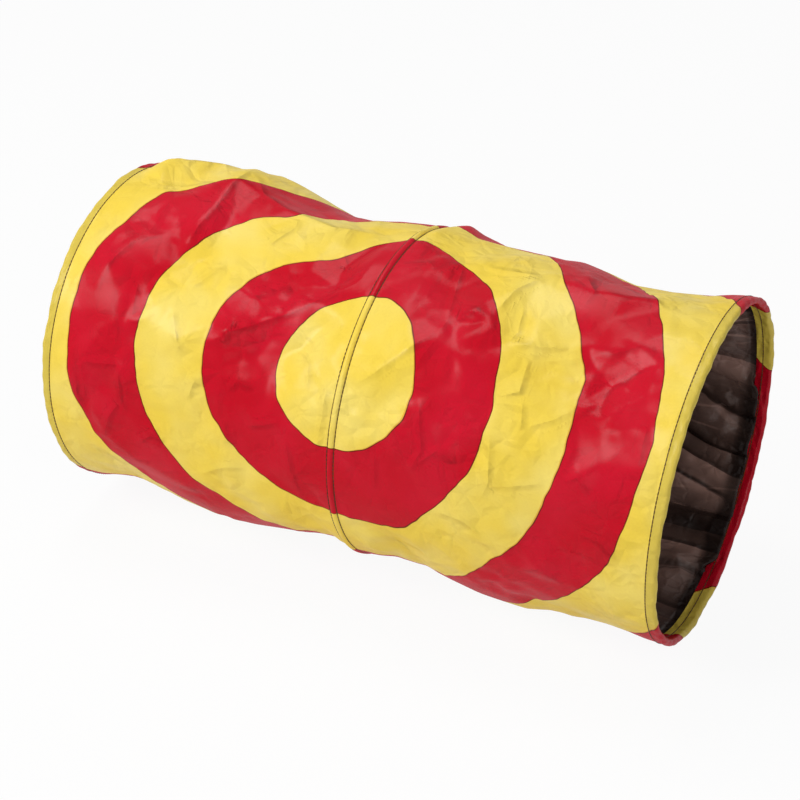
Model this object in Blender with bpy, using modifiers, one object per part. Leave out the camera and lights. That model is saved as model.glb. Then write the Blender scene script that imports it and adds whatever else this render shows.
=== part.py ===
"""Collapsible cat tunnel, in metres with +Z up.

The tunnel lies along X on a floor at Z = 0, with its middle over the origin. Three sprung wire hoops,
one at each end and one in the middle, hold up a sleeve of cloth. The sleeve has three plies: a printed
cover, a crinkle film and a dark lining. At each end the cover's cloth is folded round the hoop and sewn
down as a hem. In the middle two lines of stitching hold the hoop between a strip of cover and a strip
of lining. Pushing an end hoop towards the middle one folds the cloth between them.
"""

import math
from collections import namedtuple

import bmesh
import bpy
from mathutils import Matrix, Vector
from mathutils.geometry import intersect_point_line

# Overall size
TUNNEL_LENGTH = 0.480
TUNNEL_DIAMETER = 0.250
REST_FLAT_DEPTH = 0.0005

# Sprung wire hoops, and the crimped sleeve that joins the two ends of each wire
WIRE_DIAMETER = 0.0024
WIRE_END_GAP = 0.0010
SLEEVE_LENGTH = 0.022
SLEEVE_WALL = 0.0004
SLEEVE_CLEARANCE = 0.0002
SLEEVE_ANGLE = math.radians(-142.5)

# Cloth
COVER_THICKNESS = 0.0006
FILM_THICKNESS = 0.0003
LINING_THICKNESS = 0.0006
PLY_GAP = 0.0003

# Hems at the ends, and the strip over the middle hoop
HEM_WIDTH = 0.0087
HEM_LAP = 0.0035
HEM_PINCH = 0.0005
HEM_FLAT_WIDTH = 0.0030
BAND_RISE = 0.0016
SWELL_FADE = math.radians(12)

# Fall of the cloth between the hoops
WAIST_DEPTH = 0.0020
RIPPLE_COUNT = 7
RIPPLE_DEPTH = 0.0014
RIPPLE_SLANT = 1.6
HOLD_REACH = 0.016

# Fineness of the round shapes
HOOP_SIDES = 48
CLOTH_SIDES = 32
CLOTH_ROWS = 9
FOLD_STEPS = 8
BAND_STEPS = 6

# A fold of the cloth: its bay (-1 left, 1 right), its distance from the middle hoop, its angle in degrees
# above the horizontal on the front (-Y) side, how far it stands out or in, and how far it reaches each way.
Fold = namedtuple("Fold", "bay along angle depth reach turn")
FOLDS = (
    Fold(-1, 0.150, 118, 0.0130, 0.048, 32),
    Fold(-1, 0.216, 106, 0.0100, 0.018, 22),
    Fold(-1, 0.056, 42, -0.0110, 0.036, 26),
    Fold(-1, 0.072, 124, -0.0085, 0.038, 30),
    Fold(-1, 0.135, 68, -0.0080, 0.040, 20),
    Fold(-1, 0.200, 34, 0.0035, 0.032, 28),
    Fold(-1, 0.110, -50, 0.0075, 0.046, 22),
    Fold(-1, 0.196, -50, -0.0080, 0.027, 18),
    Fold(-1, 0.024, -44, -0.0070, 0.022, 18),
    Fold(-1, 0.120, 190, -0.0060, 0.060, 30),
    Fold(1, 0.062, 46, 0.0080, 0.040, 28),
    Fold(1, 0.013, 120, 0.0095, 0.012, 26),
    Fold(1, 0.060, 122, -0.0030, 0.036, 26),
    Fold(1, 0.125, 84, 0.0050, 0.030, 15),
    Fold(1, 0.118, 124, 0.0040, 0.026, 24),
    Fold(1, 0.160, 56, -0.0110, 0.044, 20),
    Fold(1, 0.158, 122, -0.0090, 0.044, 30),
    Fold(1, 0.206, 114, -0.0035, 0.020, 20),
    Fold(1, 0.046, -48, -0.0060, 0.024, 18),
    Fold(1, 0.110, -52, 0.0065, 0.036, 20),
    Fold(1, 0.180, -12, -0.0040, 0.040, 24),
    Fold(1, 0.110, 196, -0.0070, 0.050, 34),
)

# The same for the folds of the lining alone, which stand into the bore and run along the tunnel
LINING_FOLDS = (
    Fold(-1, 0.100, -174, 0.0050, 0.050, 9),
    Fold(-1, 0.165, -140, 0.0040, 0.050, 9),
    Fold(-1, 0.085, -107, 0.0050, 0.050, 9),
    Fold(-1, 0.160, -84, 0.0055, 0.050, 9),
    Fold(-1, 0.090, -39, 0.0055, 0.055, 9),
    Fold(-1, 0.160, -6, 0.0055, 0.050, 9),
    Fold(-1, 0.070, 17, 0.0045, 0.040, 9),
    Fold(-1, 0.150, 73, 0.0050, 0.055, 9),
    Fold(-1, 0.085, 96, 0.0055, 0.050, 9),
    Fold(-1, 0.150, 140, 0.0050, 0.050, 9),
    Fold(1, 0.160, -107, 0.0050, 0.050, 9),
    Fold(1, 0.100, -84, 0.0055, 0.055, 9),
    Fold(1, 0.165, -39, 0.0055, 0.050, 9),
    Fold(1, 0.075, -17, 0.0055, 0.045, 9),
    Fold(1, 0.165, 6, 0.0050, 0.050, 9),
    Fold(1, 0.100, 73, 0.0050, 0.050, 9),
    Fold(1, 0.165, 96, 0.0055, 0.050, 9),
    Fold(1, 0.150, 163, 0.0055, 0.055, 9),
    Fold(1, 0.195, -174, 0.0045, 0.030, 9),
    Fold(1, 0.080, -174, 0.0050, 0.045, 9),
)

# A long crease of the cloth: its points as (x in millimetres, angle in degrees), how far its line stands out or
# in, and how far the cloth slopes away from the line to its left and to its right.
Crease = namedtuple("Crease", "points height left right")
CREASES = (
    Crease(((-152, 112), (-147, 96), (-149, 82), (-156, 60)), 0.0071, 0.015, 0.040),
    Crease(((-146, 106), (-124, 95), (-98, 91), (-56, 88), (-22, 95)), 0.0048, 0.022, 0.014),
    Crease(((-112, 32), (-86, 41), (-58, 50), (-40, 56), (-14, 68)), 0.0059, 0.028, 0.020),
    Crease(((-48, 62), (-30, 64), (-14, 76)), -0.0042, 0.014, 0.012),
    Crease(((8, 32), (24, 38), (44, 47), (60, 56)), 0.0045, 0.018, 0.018),
    Crease(((46, 88), (52, 74), (60, 60), (58, 52)), -0.0048, 0.020, 0.020),
    Crease(((148, 86), (164, 86), (186, 89), (196, 86)), 0.0050, 0.022, 0.018),
    Crease(((168, 44), (180, 55), (196, 62), (206, 64)), -0.0047, 0.018, 0.022),
)
CREASE_END_SHARE = 0.3

# Sizes that follow from those above
CHANNEL_RADIUS = WIRE_DIAMETER / 2 + PLY_GAP + REST_FLAT_DEPTH
FOLD_RADIUS = CHANNEL_RADIUS + COVER_THICKNESS
HOOP_RADIUS = TUNNEL_DIAMETER / 2 - FOLD_RADIUS
END_X = TUNNEL_LENGTH / 2
HOOP_X = END_X - FOLD_RADIUS
STITCH_X = END_X - HEM_WIDTH
LAP_X = STITCH_X - HEM_LAP
AXIS_HEIGHT = TUNNEL_DIAMETER / 2 - REST_FLAT_DEPTH
SLEEVE_RADIUS = WIRE_DIAMETER / 2 + SLEEVE_CLEARANCE + SLEEVE_WALL
SLEEVE_SWELL = max(0.0, SLEEVE_RADIUS + 2 * PLY_GAP - CHANNEL_RADIUS)
SLEEVE_HALF_ANGLE = SLEEVE_LENGTH / 2 / HOOP_RADIUS
COVER_AT_HEM = TUNNEL_DIAMETER / 2 - HEM_PINCH
COVER_AT_BAND = TUNNEL_DIAMETER / 2 - BAND_RISE
BAND_END_ANGLE = math.asin((FOLD_RADIUS - BAND_RISE) / FOLD_RADIUS)
BAND_EDGE_X = FOLD_RADIUS * math.cos(BAND_END_ANGLE)
FILM_DEPTH = COVER_THICKNESS + PLY_GAP
LINING_DEPTH = FILM_DEPTH + FILM_THICKNESS + PLY_GAP
FACET_DROP = (1 - math.cos(math.pi / CLOTH_SIDES)) * TUNNEL_DIAMETER / 2
LAP_RADIUS = (
    COVER_AT_HEM - LINING_DEPTH - LINING_THICKNESS - PLY_GAP - FACET_DROP - COVER_THICKNESS
)


def clear_scene():
    for thing in list(bpy.data.objects):
        bpy.data.objects.remove(thing, do_unlink=True)


def new_collection(name):
    collection = bpy.data.collections.new(name)
    bpy.context.scene.collection.children.link(collection)
    return collection


def plain_material(name, color, roughness, metallic=0.0):
    material = bpy.data.materials.new(name)
    material.use_nodes = True
    shader = material.node_tree.nodes["Principled BSDF"]
    shader.inputs["Base Color"].default_value = (*color, 1.0)
    shader.inputs["Roughness"].default_value = roughness
    shader.inputs["Metallic"].default_value = metallic
    return material


def add_part(name, data, material, parent, collection):
    """One sub-part, hung on the empty that it moves with."""
    part = bpy.data.objects.new(name, data)
    data.materials.append(material)
    collection.objects.link(part)
    part.parent = parent
    return part


def add_body(name, x, collection):
    """The empty of one rigid body, on the tunnel's axis, which every joint runs along."""
    body = bpy.data.objects.new(name, None)
    body.location = (x, 0, AXIS_HEIGHT)
    collection.objects.link(body)
    return body


def round_axis(radius, angle):
    """A point of the tunnel's cross-section: the angle is counted up from the front (-Y) side."""
    return -radius * math.cos(angle), radius * math.sin(angle)


def polar(point):
    """The radius and angle of a point about the tunnel's axis, as round_axis counts them."""
    return math.hypot(point.y, point.z), math.atan2(point.z, -point.y)


def smooth_step(value):
    value = min(max(value, 0.0), 1.0)
    return value * value * (3 - 2 * value)


def angle_between(first, second):
    """The size of the angle from one direction to the other, at most half a turn."""
    return abs((first - second + math.pi) % (2 * math.pi) - math.pi)


def spun_sheet(profile, sides):
    """A profile of (x, radius) points carried once round the axis, with a facet centred at the bottom."""
    sheet = bmesh.new()
    start = -math.pi / 2 + math.pi / sides
    corners = [sheet.verts.new((x, *round_axis(radius, start))) for x, radius in profile]
    lines = [sheet.edges.new(pair) for pair in zip(corners, corners[1:])]
    bmesh.ops.spin(
        sheet,
        geom=corners + lines,
        cent=(0, 0, 0),
        axis=(1, 0, 0),
        angle=2 * math.pi,
        steps=sides,
        use_merge=True,
    )
    bmesh.ops.remove_doubles(sheet, verts=sheet.verts, dist=1e-6)
    return sheet


def faced_outwards(sheet, bore_side=False):
    """Turns every face so that the outermost one looks away from the axis, or towards it."""
    outermost = max(sheet.faces, key=lambda face: face.calc_center_median().yz.length)
    looks_out = outermost.normal.yz.dot(outermost.calc_center_median().yz) > 0
    if looks_out == bore_side:
        bmesh.ops.reverse_faces(sheet, faces=sheet.faces)


def press_flat(sheet, depth=0.0):
    """Flattens what hangs below the floor, less the depth of the plies outside this one."""
    lowest = depth - AXIS_HEIGHT
    for corner in sheet.verts:
        corner.co.z = max(corner.co.z, lowest)


def swell_over_sleeve(sheet):
    """Stands the cloth off the wire's centre line where the thicker crimped sleeve lies."""
    full = SLEEVE_HALF_ANGLE + 2 * math.pi / HOOP_SIDES
    for corner in sheet.verts:
        radius, angle = polar(corner.co)
        away = angle_between(angle, SLEEVE_ANGLE) - full
        share = 1 - smooth_step(away / SWELL_FADE)
        lean = max(-1.0, min(1.0, (radius - HOOP_RADIUS) / CHANNEL_RADIUS))
        corner.co.yz = round_axis(radius + SLEEVE_SWELL * share * lean, angle)


def add_ply(part, thickness):
    """Gives an open surface its thickness, laid inwards from the surface."""
    ply = part.modifiers.new("ply", "SOLIDIFY")
    ply.thickness = thickness
    ply.offset = -1
    ply.use_even_offset = True


def cloth_object(name, sheet, thickness, material, body, collection, offset=Vector()):
    """The sheet as a part of even thickness, laid inwards from the sheet's face."""
    bmesh.ops.transform(sheet, matrix=Matrix.Translation(offset), verts=sheet.verts)
    sheet.normal_update()
    mesh = bpy.data.meshes.new(name)
    sheet.to_mesh(mesh)
    sheet.free()
    mesh.shade_smooth()
    part = add_part(name, mesh, material, body, collection)
    add_ply(part, thickness)
    return part


def wire_points():
    """The bends of a hoop's wire, from one end to the other, as (y, z)."""
    half_gap = WIRE_END_GAP / 2 / HOOP_RADIUS
    turn = 2 * math.pi - 2 * half_gap
    first = SLEEVE_ANGLE + half_gap
    return [Vector(round_axis(HOOP_RADIUS, first + turn * i / HOOP_SIDES)) for i in range(HOOP_SIDES + 1)]


def round_bar(name, points, radius, resolution, filled):
    """A curve through these (y, z) points, as a bar with closed ends or a tube without them."""
    curve = bpy.data.curves.new(name, "CURVE")
    curve.dimensions = "3D"
    curve.bevel_depth = radius
    curve.bevel_resolution = resolution
    curve.use_fill_caps = filled
    line = curve.splines.new("POLY")
    line.points.add(len(points) - 1)
    for bend, point in zip(line.points, points):
        bend.co = (0, *point, 1)
    return curve


def hoop(name, material, body, collection):
    """A hoop of round wire, open by a hair where its two ends meet inside the sleeve."""
    wire = round_bar(name, wire_points(), WIRE_DIAMETER / 2, 2, True)
    return add_part(name, wire, material, body, collection)


def hoop_sleeve(name, material, body, collection):
    """The crimped tube over the wire's two ends, which follows the wire's last run on each side."""
    points = wire_points()
    centre = Vector(round_axis(HOOP_RADIUS, SLEEVE_ANGLE))
    ends = [centre + (point - centre).normalized() * SLEEVE_LENGTH / 2 for point in (points[1], points[-2])]
    tube = round_bar(name, [ends[0], centre, ends[1]], SLEEVE_RADIUS, 4, False)
    part = add_part(name, tube, material, body, collection)
    add_ply(part, SLEEVE_WALL)
    return part


def tangent_angle(x, radius, side):
    """Where a straight run from this point meets the fold round the wire, as an angle of the fold."""
    across, up = x - HOOP_X, radius - HOOP_RADIUS
    reach = math.acos(FOLD_RADIUS / math.hypot(across, up))
    return math.atan2(up, across) - side * reach


def hem_profile():
    """From the stitching out over the hoop and back inside, to the end of the turned-in lap."""
    first = tangent_angle(STITCH_X, COVER_AT_HEM, 1)
    last = tangent_angle(LAP_X, LAP_RADIUS, -1)
    last -= 2 * math.pi * (last > first)
    fold = []
    for i in range(FOLD_STEPS + 1):
        angle = first + (last - first) * i / FOLD_STEPS
        fold.append((HOOP_X + FOLD_RADIUS * math.cos(angle), HOOP_RADIUS + FOLD_RADIUS * math.sin(angle)))
    share = HEM_FLAT_WIDTH / (fold[0][0] - STITCH_X)
    flat_end = tuple(top + (low - top) * share for top, low in zip(fold[0], (STITCH_X, COVER_AT_HEM)))
    return [(STITCH_X, COVER_AT_HEM), flat_end, *fold, (LAP_X, LAP_RADIUS)]


def hem(name, side, material, body, collection):
    """The cover's end, folded round its hoop into a channel that stays open between its two plies."""
    sheet = spun_sheet(hem_profile(), HOOP_SIDES)
    swell_over_sleeve(sheet)
    press_flat(sheet)
    sheet.normal_update()
    faced_outwards(sheet)
    if side < 0:
        bmesh.ops.transform(sheet, matrix=Matrix.Scale(-1, 4, (1, 0, 0)), verts=sheet.verts)
        bmesh.ops.reverse_faces(sheet, faces=sheet.faces)
    offset = Vector((-side * HOOP_X, 0, 0))
    return cloth_object(name, sheet, COVER_THICKNESS, material, body, collection, offset)


def band_profile(radius, outwards):
    """The arc of cloth over the middle hoop, on its outer side or on the bore's side."""
    profile = []
    for i in range(BAND_STEPS + 1):
        angle = BAND_END_ANGLE + (math.pi - 2 * BAND_END_ANGLE) * i / BAND_STEPS
        profile.append((radius * math.cos(angle), HOOP_RADIUS + outwards * radius * math.sin(angle)))
    return profile


def middle_band(name, material, body, collection):
    """The strip of printed cover between the two lines of stitching, raised over the middle hoop."""
    sheet = spun_sheet(band_profile(FOLD_RADIUS, 1), HOOP_SIDES)
    swell_over_sleeve(sheet)
    press_flat(sheet)
    sheet.normal_update()
    faced_outwards(sheet)
    return cloth_object(name, sheet, COVER_THICKNESS, material, body, collection)


def middle_lining_band(name, material, body, collection):
    """The strip of lining under the middle hoop, which closes the hoop's channel on the bore's side."""
    sheet = spun_sheet(band_profile(CHANNEL_RADIUS + LINING_THICKNESS, -1), HOOP_SIDES)
    swell_over_sleeve(sheet)
    sheet.normal_update()
    faced_outwards(sheet, bore_side=True)
    return cloth_object(name, sheet, LINING_THICKNESS, material, body, collection)


def fold_height(folds, bay, along, angle):
    """How high the folds of one bay stand together at a place, each of them a bell curve both ways."""
    height = 0.0
    for fold in folds:
        if fold.bay != bay:
            continue
        away = (along - fold.along) / fold.reach
        turned = angle_between(angle, math.radians(fold.angle)) / math.radians(fold.turn)
        height += fold.depth * math.exp(-away * away - turned * turned)
    return height


def crease_height(crease, x, angle):
    """How high a crease stands at a place: a straight slope from its line, which fades at its two ends."""
    radius = TUNNEL_DIAMETER / 2
    place = Vector((x, radius * angle))
    points = [Vector((mm / 1000, radius * math.radians(turn))) for mm, turn in crease.points]
    walked = [0.0]
    nearest = (math.inf, 0.0, 0.0)
    for first, last in zip(points, points[1:]):
        run = last - first
        share = min(max(intersect_point_line(place, first, last)[1], 0.0), 1.0)
        away = place - first.lerp(last, share)
        side = run.x * (place - first).y - run.y * (place - first).x
        nearest = min(nearest, (away.length, side, walked[-1] + share * run.length))
        walked.append(walked[-1] + run.length)
    distance, side, passed = nearest
    reach = crease.left if side > 0 else crease.right
    end_share = min(passed, walked[-1] - passed) / walked[-1] / CREASE_END_SHARE
    return crease.height * max(1 - distance / reach, 0.0) * smooth_step(end_share)


def cloth_offset(bay, along, angle):
    """How far the cloth stands out from the straight line between its seams, at a place in a bay."""
    share = (along - BAND_EDGE_X) / (LAP_X - BAND_EDGE_X)
    slant = RIPPLE_COUNT * angle + bay * RIPPLE_SLANT * math.pi * share
    offset = -WAIST_DEPTH * math.sin(math.pi * share) + RIPPLE_DEPTH * math.sin(slant)
    offset += fold_height(FOLDS, bay, along, angle)
    for crease in CREASES:
        if crease.points[0][0] * bay > 0:
            offset += crease_height(crease, bay * along, angle)
    return offset


def cloth_tube(name, bay, depth, folds, thickness, material, body, collection):
    """One ply of one bay: a tube between two seams, with the cloth's own falls and this ply's inward folds."""
    first = BAND_EDGE_X + PLY_GAP
    held = LAP_X - PLY_GAP
    profile = []
    for i in range(CLOTH_ROWS + 1):
        share = i / CLOTH_ROWS
        straight = COVER_AT_BAND + (COVER_AT_HEM - COVER_AT_BAND) * share
        profile.append((first + (held - first) * share, straight))
    profile.append((STITCH_X - PLY_GAP, COVER_AT_HEM))
    sheet = spun_sheet(profile, CLOTH_SIDES)
    for corner in sheet.verts:
        along = corner.co.x
        radius, angle = polar(corner.co)
        fall = cloth_offset(bay, along, angle) - fold_height(folds, bay, along, angle)
        freed = smooth_step(min(along - BAND_EDGE_X, held - along) / HOLD_REACH)
        corner.co = (bay * along, *round_axis(radius + fall * freed - depth, angle))
    press_flat(sheet, depth)
    sheet.normal_update()
    faced_outwards(sheet)
    return cloth_object(name, sheet, thickness, material, body, collection)


def build():
    clear_scene()
    parts = new_collection("cat_tunnel")

    wire = plain_material("spring_steel", (0.42, 0.42, 0.44), 0.35, 1.0)
    crimp = plain_material("crimped_tube", (0.60, 0.60, 0.62), 0.40, 1.0)
    yellow = plain_material("yellow_cloth", (0.84, 0.66, 0.13), 0.60)
    red = plain_material("red_cloth", (0.57, 0.01, 0.02), 0.60)
    film = plain_material("crinkle_film", (0.55, 0.57, 0.60), 0.25)
    dark = plain_material("dark_lining", (0.035, 0.020, 0.017), 0.40)

    middle = add_body("middle", 0, parts)
    ends = {"left": (-1, add_body("left_end", -HOOP_X, parts))}
    ends["right"] = (1, add_body("right_end", HOOP_X, parts))

    hoop("middle_hoop", wire, middle, parts)
    hoop_sleeve("middle_hoop_sleeve", crimp, middle, parts)
    middle_band("middle_band", red, middle, parts)
    middle_lining_band("middle_lining_band", dark, middle, parts)

    for name, (side, body) in ends.items():
        hoop(f"{name}_hoop", wire, body, parts)
        hoop_sleeve(f"{name}_hoop_sleeve", crimp, body, parts)
        hem(f"{name}_hem", side, yellow, body, parts)
        cloth_tube(f"cover_{name}", side, 0, (), COVER_THICKNESS, red, middle, parts)
        cloth_tube(f"crinkle_film_{name}", side, FILM_DEPTH, (), FILM_THICKNESS, film, middle, parts)
        cloth_tube(f"lining_{name}", side, LINING_DEPTH, LINING_FOLDS, LINING_THICKNESS, dark, middle, parts)


build()
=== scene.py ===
"""The looks of a collapsible cat tunnel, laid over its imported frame.

Every length is in metres. The tunnel lies along X on a floor at Z = 0, with its middle over the origin. A
place on its cloth is given by x and by an angle, which is counted up from the front (-Y) side.
"""

import functools
import math
from collections import namedtuple

import bpy
import numpy as np
from mathutils import Matrix, Vector
from mathutils.geometry import delaunay_2d_cdt


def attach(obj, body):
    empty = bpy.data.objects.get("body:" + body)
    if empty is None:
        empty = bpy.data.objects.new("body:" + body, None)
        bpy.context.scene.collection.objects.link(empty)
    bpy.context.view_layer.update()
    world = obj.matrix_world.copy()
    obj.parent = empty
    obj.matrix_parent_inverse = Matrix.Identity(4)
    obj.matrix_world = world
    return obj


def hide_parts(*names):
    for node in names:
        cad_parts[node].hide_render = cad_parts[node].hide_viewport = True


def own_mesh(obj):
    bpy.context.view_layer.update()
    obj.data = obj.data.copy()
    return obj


bl_info = {
    "name": "Cat tunnel cloth",
    "version": (1, 0, 0),
    "blender": (4, 5, 0),
    "location": "3D View > Sidebar > Tunnel",
    "description": "Dresses the frame of a cat tunnel in printed cloth, crumpled lining and stitching",
    "category": "Object",
}

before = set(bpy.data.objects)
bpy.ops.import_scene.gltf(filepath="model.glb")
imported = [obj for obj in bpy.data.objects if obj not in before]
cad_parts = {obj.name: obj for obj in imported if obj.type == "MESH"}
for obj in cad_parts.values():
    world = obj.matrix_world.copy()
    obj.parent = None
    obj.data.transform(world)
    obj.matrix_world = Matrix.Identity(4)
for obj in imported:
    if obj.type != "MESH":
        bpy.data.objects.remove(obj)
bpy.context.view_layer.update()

# The two bays, and which way each lies from the middle hoop
BAYS = (("left", -1), ("right", 1))

# Sizes that the frame's solids have too
TUNNEL_RADIUS = 0.125
AXIS_HEIGHT = 0.1245
HOOP_RADIUS = 0.1224
HOOP_X = 0.2374
STITCH_X = 0.2313
LAP_X = 0.2278
LAP_RADIUS = 0.1209
FOLD_RADIUS = 0.0026
BAND_EDGE_X = 0.0024
COVER_AT_HEM = 0.1245
COVER_AT_BAND = 0.1234
COVER_THICKNESS = 0.0006
FILM_THICKNESS = 0.0003
LINING_THICKNESS = 0.0006
PLY_GAP = 0.0003
FILM_DEPTH = 0.0009
LINING_DEPTH = 0.0015
WAIST_DEPTH = 0.0020
RIPPLE_COUNT = 7
RIPPLE_DEPTH = 0.0014
RIPPLE_SLANT = 1.6
HOLD_REACH = 0.016

# Where the needle went: through each hem, and beside the middle hoop
NEEDLE_X = 0.2328
RIDGE_STITCH_X = 0.00265

# Seams that run the length of the tunnel, as angles
COVER_SEAM = math.radians(-145.2)
LINING_SEAM = math.radians(-130)

# A seam's cloth sinks into a groove, this deep and this far to each side, and lies smooth beside it
SEAM_GROOVE = 0.0007
SEAM_GROOVE_REACH = 0.0011
SEAM_SMOOTH_REACH = 0.014

# How far from a seam the small folds begin, and the gathers that run out from the hoops' stitching
SEAM_HOLD = 0.010
GATHER_DEPTH = 0.0005
GATHER_WIDTH = 0.009
GATHER_REACH = 0.018

# The lining: the pleats' mean width, the shares of one over which it rises and falls, a number that there
# are fewer of, and two waves round the tunnel, each (height, length, start), that make them wide and
# narrow. Then the lap of the long seam, the loose fold that hangs over the hem's lap round the far lower
# side, how far the lining leans in above it and how far it reaches out, and the place where its crumples
# gather by the lap.
PLEAT_WIDTH = 0.0235
PLEAT_RISE = 0.8
PLEAT_FALL = 0.2
PLEAT_COUNT = 96
PLEAT_WAVES = ((0.0050, 0.071, 0.8), (0.0016, 0.031, 0.0))
LINING_LAP = 0.0012
OVERHANG_ANGLE = math.radians(214)
OVERHANG_TURN = math.radians(40)
OVERHANG_RADIUS = 0.1187
OVERHANG_LEAN = 0.0042
OVERHANG_TIP = 0.0082
GATHER_ANGLE = math.radians(190)

# Layers of crumples, each (size, depth): of the cover in metres, and of the lining as shares of its depth
COVER_CRUMPLES = ((0.019, 0.00100), (0.010, 0.00055))
LINING_CRUMPLES = ((0.014, 0.45), (0.007, 0.22))
GATHERED_CRUMPLES = ((0.016, 0.70), (0.008, 0.45))

# The hems' slanting ropes and their puffs, and how flat the needle holds the cloth beside it
ROPE_PITCH = 0.0135
ROPE_DEPTH = 0.00016
PUFF_DEPTH = 0.00075
NEEDLE_HOLD = 0.0025

# The print: how far the ink wandered, the outline's edges on each side of a ring's edge, how far the red
# lies off the yellow, the number of the last ring, and the weave. Then the edges of the dark line along
# each row of stitches, partly the needle's holes and partly painted shade of the stitched groove.
INK_WANDER = 0.0070
OUTLINE_EDGES = (0.00048, 0.00030)
STRAY_SHIFT = (0.0012, -0.0004)
LAST_RING = 7.0
PRINTED_WEAVE = 0.00055
LINING_WEAVE = 0.0005
RIDGE_NEEDLE_EDGES = (0.00050, 0.00020)
HEM_NEEDLE_EDGES = (0.00055, 0.00025)
STRAY_ORANGE = (0.80, 0.30, 0.02)
FLECK_RED = (0.34, 0.010, 0.010)

# The sewing thread: from rib to rib of its twist, and its paler tone
TWIST_PITCH = 0.0006
THREAD_PALE = (0.11, 0.055, 0.035)

# Fineness of the meshes: columns round the tunnel, and rows along each kind of piece
COLUMNS = 392
COVER_ROWS = 125
FILM_ROWS = 60
LINING_ROWS = 124
OVERHANG_ROWS = 26
UNDER_ROWS = 9
HEM_ROWS = 44
BAND_ROWS = 14
STITCH_RINGS = 6
STITCH_SIDES = 6

# Facets repeat after this many corners each way, and a mesh is sharp where it turns by more than this
LATTICE = 128
RIM_ANGLE = math.radians(60)

# The bake map, as shares of its side: where the shown face ends at the top and the hidden one at the
# bottom, the height that the two share, the gap between them, and the strips for the two rims
BAKE_TOP = 0.98
BAKE_BOTTOM = 0.02
BAKE_HEIGHT = 0.95
BAKE_GAP = 0.01
BAKE_RIMS = (0.985, 0.005)
BAKE_RIM_HEIGHT = 0.008

# The net of facets: from corner to corner, from corner to corner on the seams, and the corners' random
# height. The rest are shares of the two spacings: from row to row, how far a corner is shifted inside the
# net and on the seams, and how far it keeps from a crease.
NET_SPACING = 0.022
SEAM_SPACING = 0.013
NET_DEPTH = 0.0015
ROW_PITCH = 0.87
NET_JITTER = 0.33
SEAM_JITTER = 0.3
CREASE_CLEARANCE = 0.45

# How far the net's free corners keep from the stitching and from the long seam, and how far from the long
# seam all corners are held down
STITCHING_CLEARANCE = 0.006
LONG_SEAM_CLEARANCE = 0.008
LONG_SEAM_HOLD = 0.012

# A crease: how far its worn line is felt, the shares of its length over which that line and its height
# fade, and the share of its height that is left at its ends
CREASE_REACH = 0.007
WEAR_FADE = 0.25
CREASE_FADE = 0.3
CREASE_END_HEIGHT = 0.12

# The meshes' maps and point attributes
CLOTH_MAP = "cloth"
CREASE_ASIDE = "crease_aside"
CREASE_STRENGTH = "crease_strength"
PLEAT_COURSE = "pleat_course"
LINING_SHADE = "lining_shade"
BAKE_MAP = "OFBake"

# The cloth's main folds, as the frame's solids have them: the bay (-1 left, 1 right), the distance from the
# middle hoop, the angle in degrees, how far the fold stands out (or in, if negative), and how far it
# reaches along the tunnel in metres and round it in degrees.
Fold = namedtuple("Fold", "bay along angle depth reach turn")
FOLDS = (
    Fold(-1, 0.150, 118, 0.0130, 0.048, 32),
    Fold(-1, 0.216, 106, 0.0100, 0.018, 22),
    Fold(-1, 0.056, 42, -0.0110, 0.036, 26),
    Fold(-1, 0.072, 124, -0.0085, 0.038, 30),
    Fold(-1, 0.135, 68, -0.0080, 0.040, 20),
    Fold(-1, 0.200, 34, 0.0035, 0.032, 28),
    Fold(-1, 0.110, -50, 0.0075, 0.046, 22),
    Fold(-1, 0.196, -50, -0.0080, 0.027, 18),
    Fold(-1, 0.024, -44, -0.0070, 0.022, 18),
    Fold(-1, 0.120, 190, -0.0060, 0.060, 30),
    Fold(1, 0.062, 46, 0.0080, 0.040, 28),
    Fold(1, 0.013, 120, 0.0095, 0.012, 26),
    Fold(1, 0.060, 122, -0.0030, 0.036, 26),
    Fold(1, 0.125, 84, 0.0050, 0.030, 15),
    Fold(1, 0.118, 124, 0.0040, 0.026, 24),
    Fold(1, 0.160, 56, -0.0110, 0.044, 20),
    Fold(1, 0.158, 122, -0.0090, 0.044, 30),
    Fold(1, 0.206, 114, -0.0035, 0.020, 20),
    Fold(1, 0.046, -48, -0.0060, 0.024, 18),
    Fold(1, 0.110, -52, 0.0065, 0.036, 20),
    Fold(1, 0.180, -12, -0.0040, 0.040, 24),
    Fold(1, 0.110, 196, -0.0070, 0.050, 34),
)

# The same for the folds of the lining that stand into the bore
LINING_FOLDS = (
    Fold(-1, 0.100, -174, 0.0050, 0.050, 9),
    Fold(-1, 0.165, -140, 0.0040, 0.050, 9),
    Fold(-1, 0.085, -107, 0.0050, 0.050, 9),
    Fold(-1, 0.160, -84, 0.0055, 0.050, 9),
    Fold(-1, 0.090, -39, 0.0055, 0.055, 9),
    Fold(-1, 0.160, -6, 0.0055, 0.050, 9),
    Fold(-1, 0.070, 17, 0.0045, 0.040, 9),
    Fold(-1, 0.150, 73, 0.0050, 0.055, 9),
    Fold(-1, 0.085, 96, 0.0055, 0.050, 9),
    Fold(-1, 0.150, 140, 0.0050, 0.050, 9),
    Fold(1, 0.160, -107, 0.0050, 0.050, 9),
    Fold(1, 0.100, -84, 0.0055, 0.055, 9),
    Fold(1, 0.165, -39, 0.0055, 0.050, 9),
    Fold(1, 0.075, -17, 0.0055, 0.045, 9),
    Fold(1, 0.165, 6, 0.0050, 0.050, 9),
    Fold(1, 0.100, 73, 0.0050, 0.050, 9),
    Fold(1, 0.165, 96, 0.0055, 0.050, 9),
    Fold(1, 0.150, 163, 0.0055, 0.055, 9),
    Fold(1, 0.195, -174, 0.0045, 0.030, 9),
    Fold(1, 0.080, -174, 0.0050, 0.045, 9),
)

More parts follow.
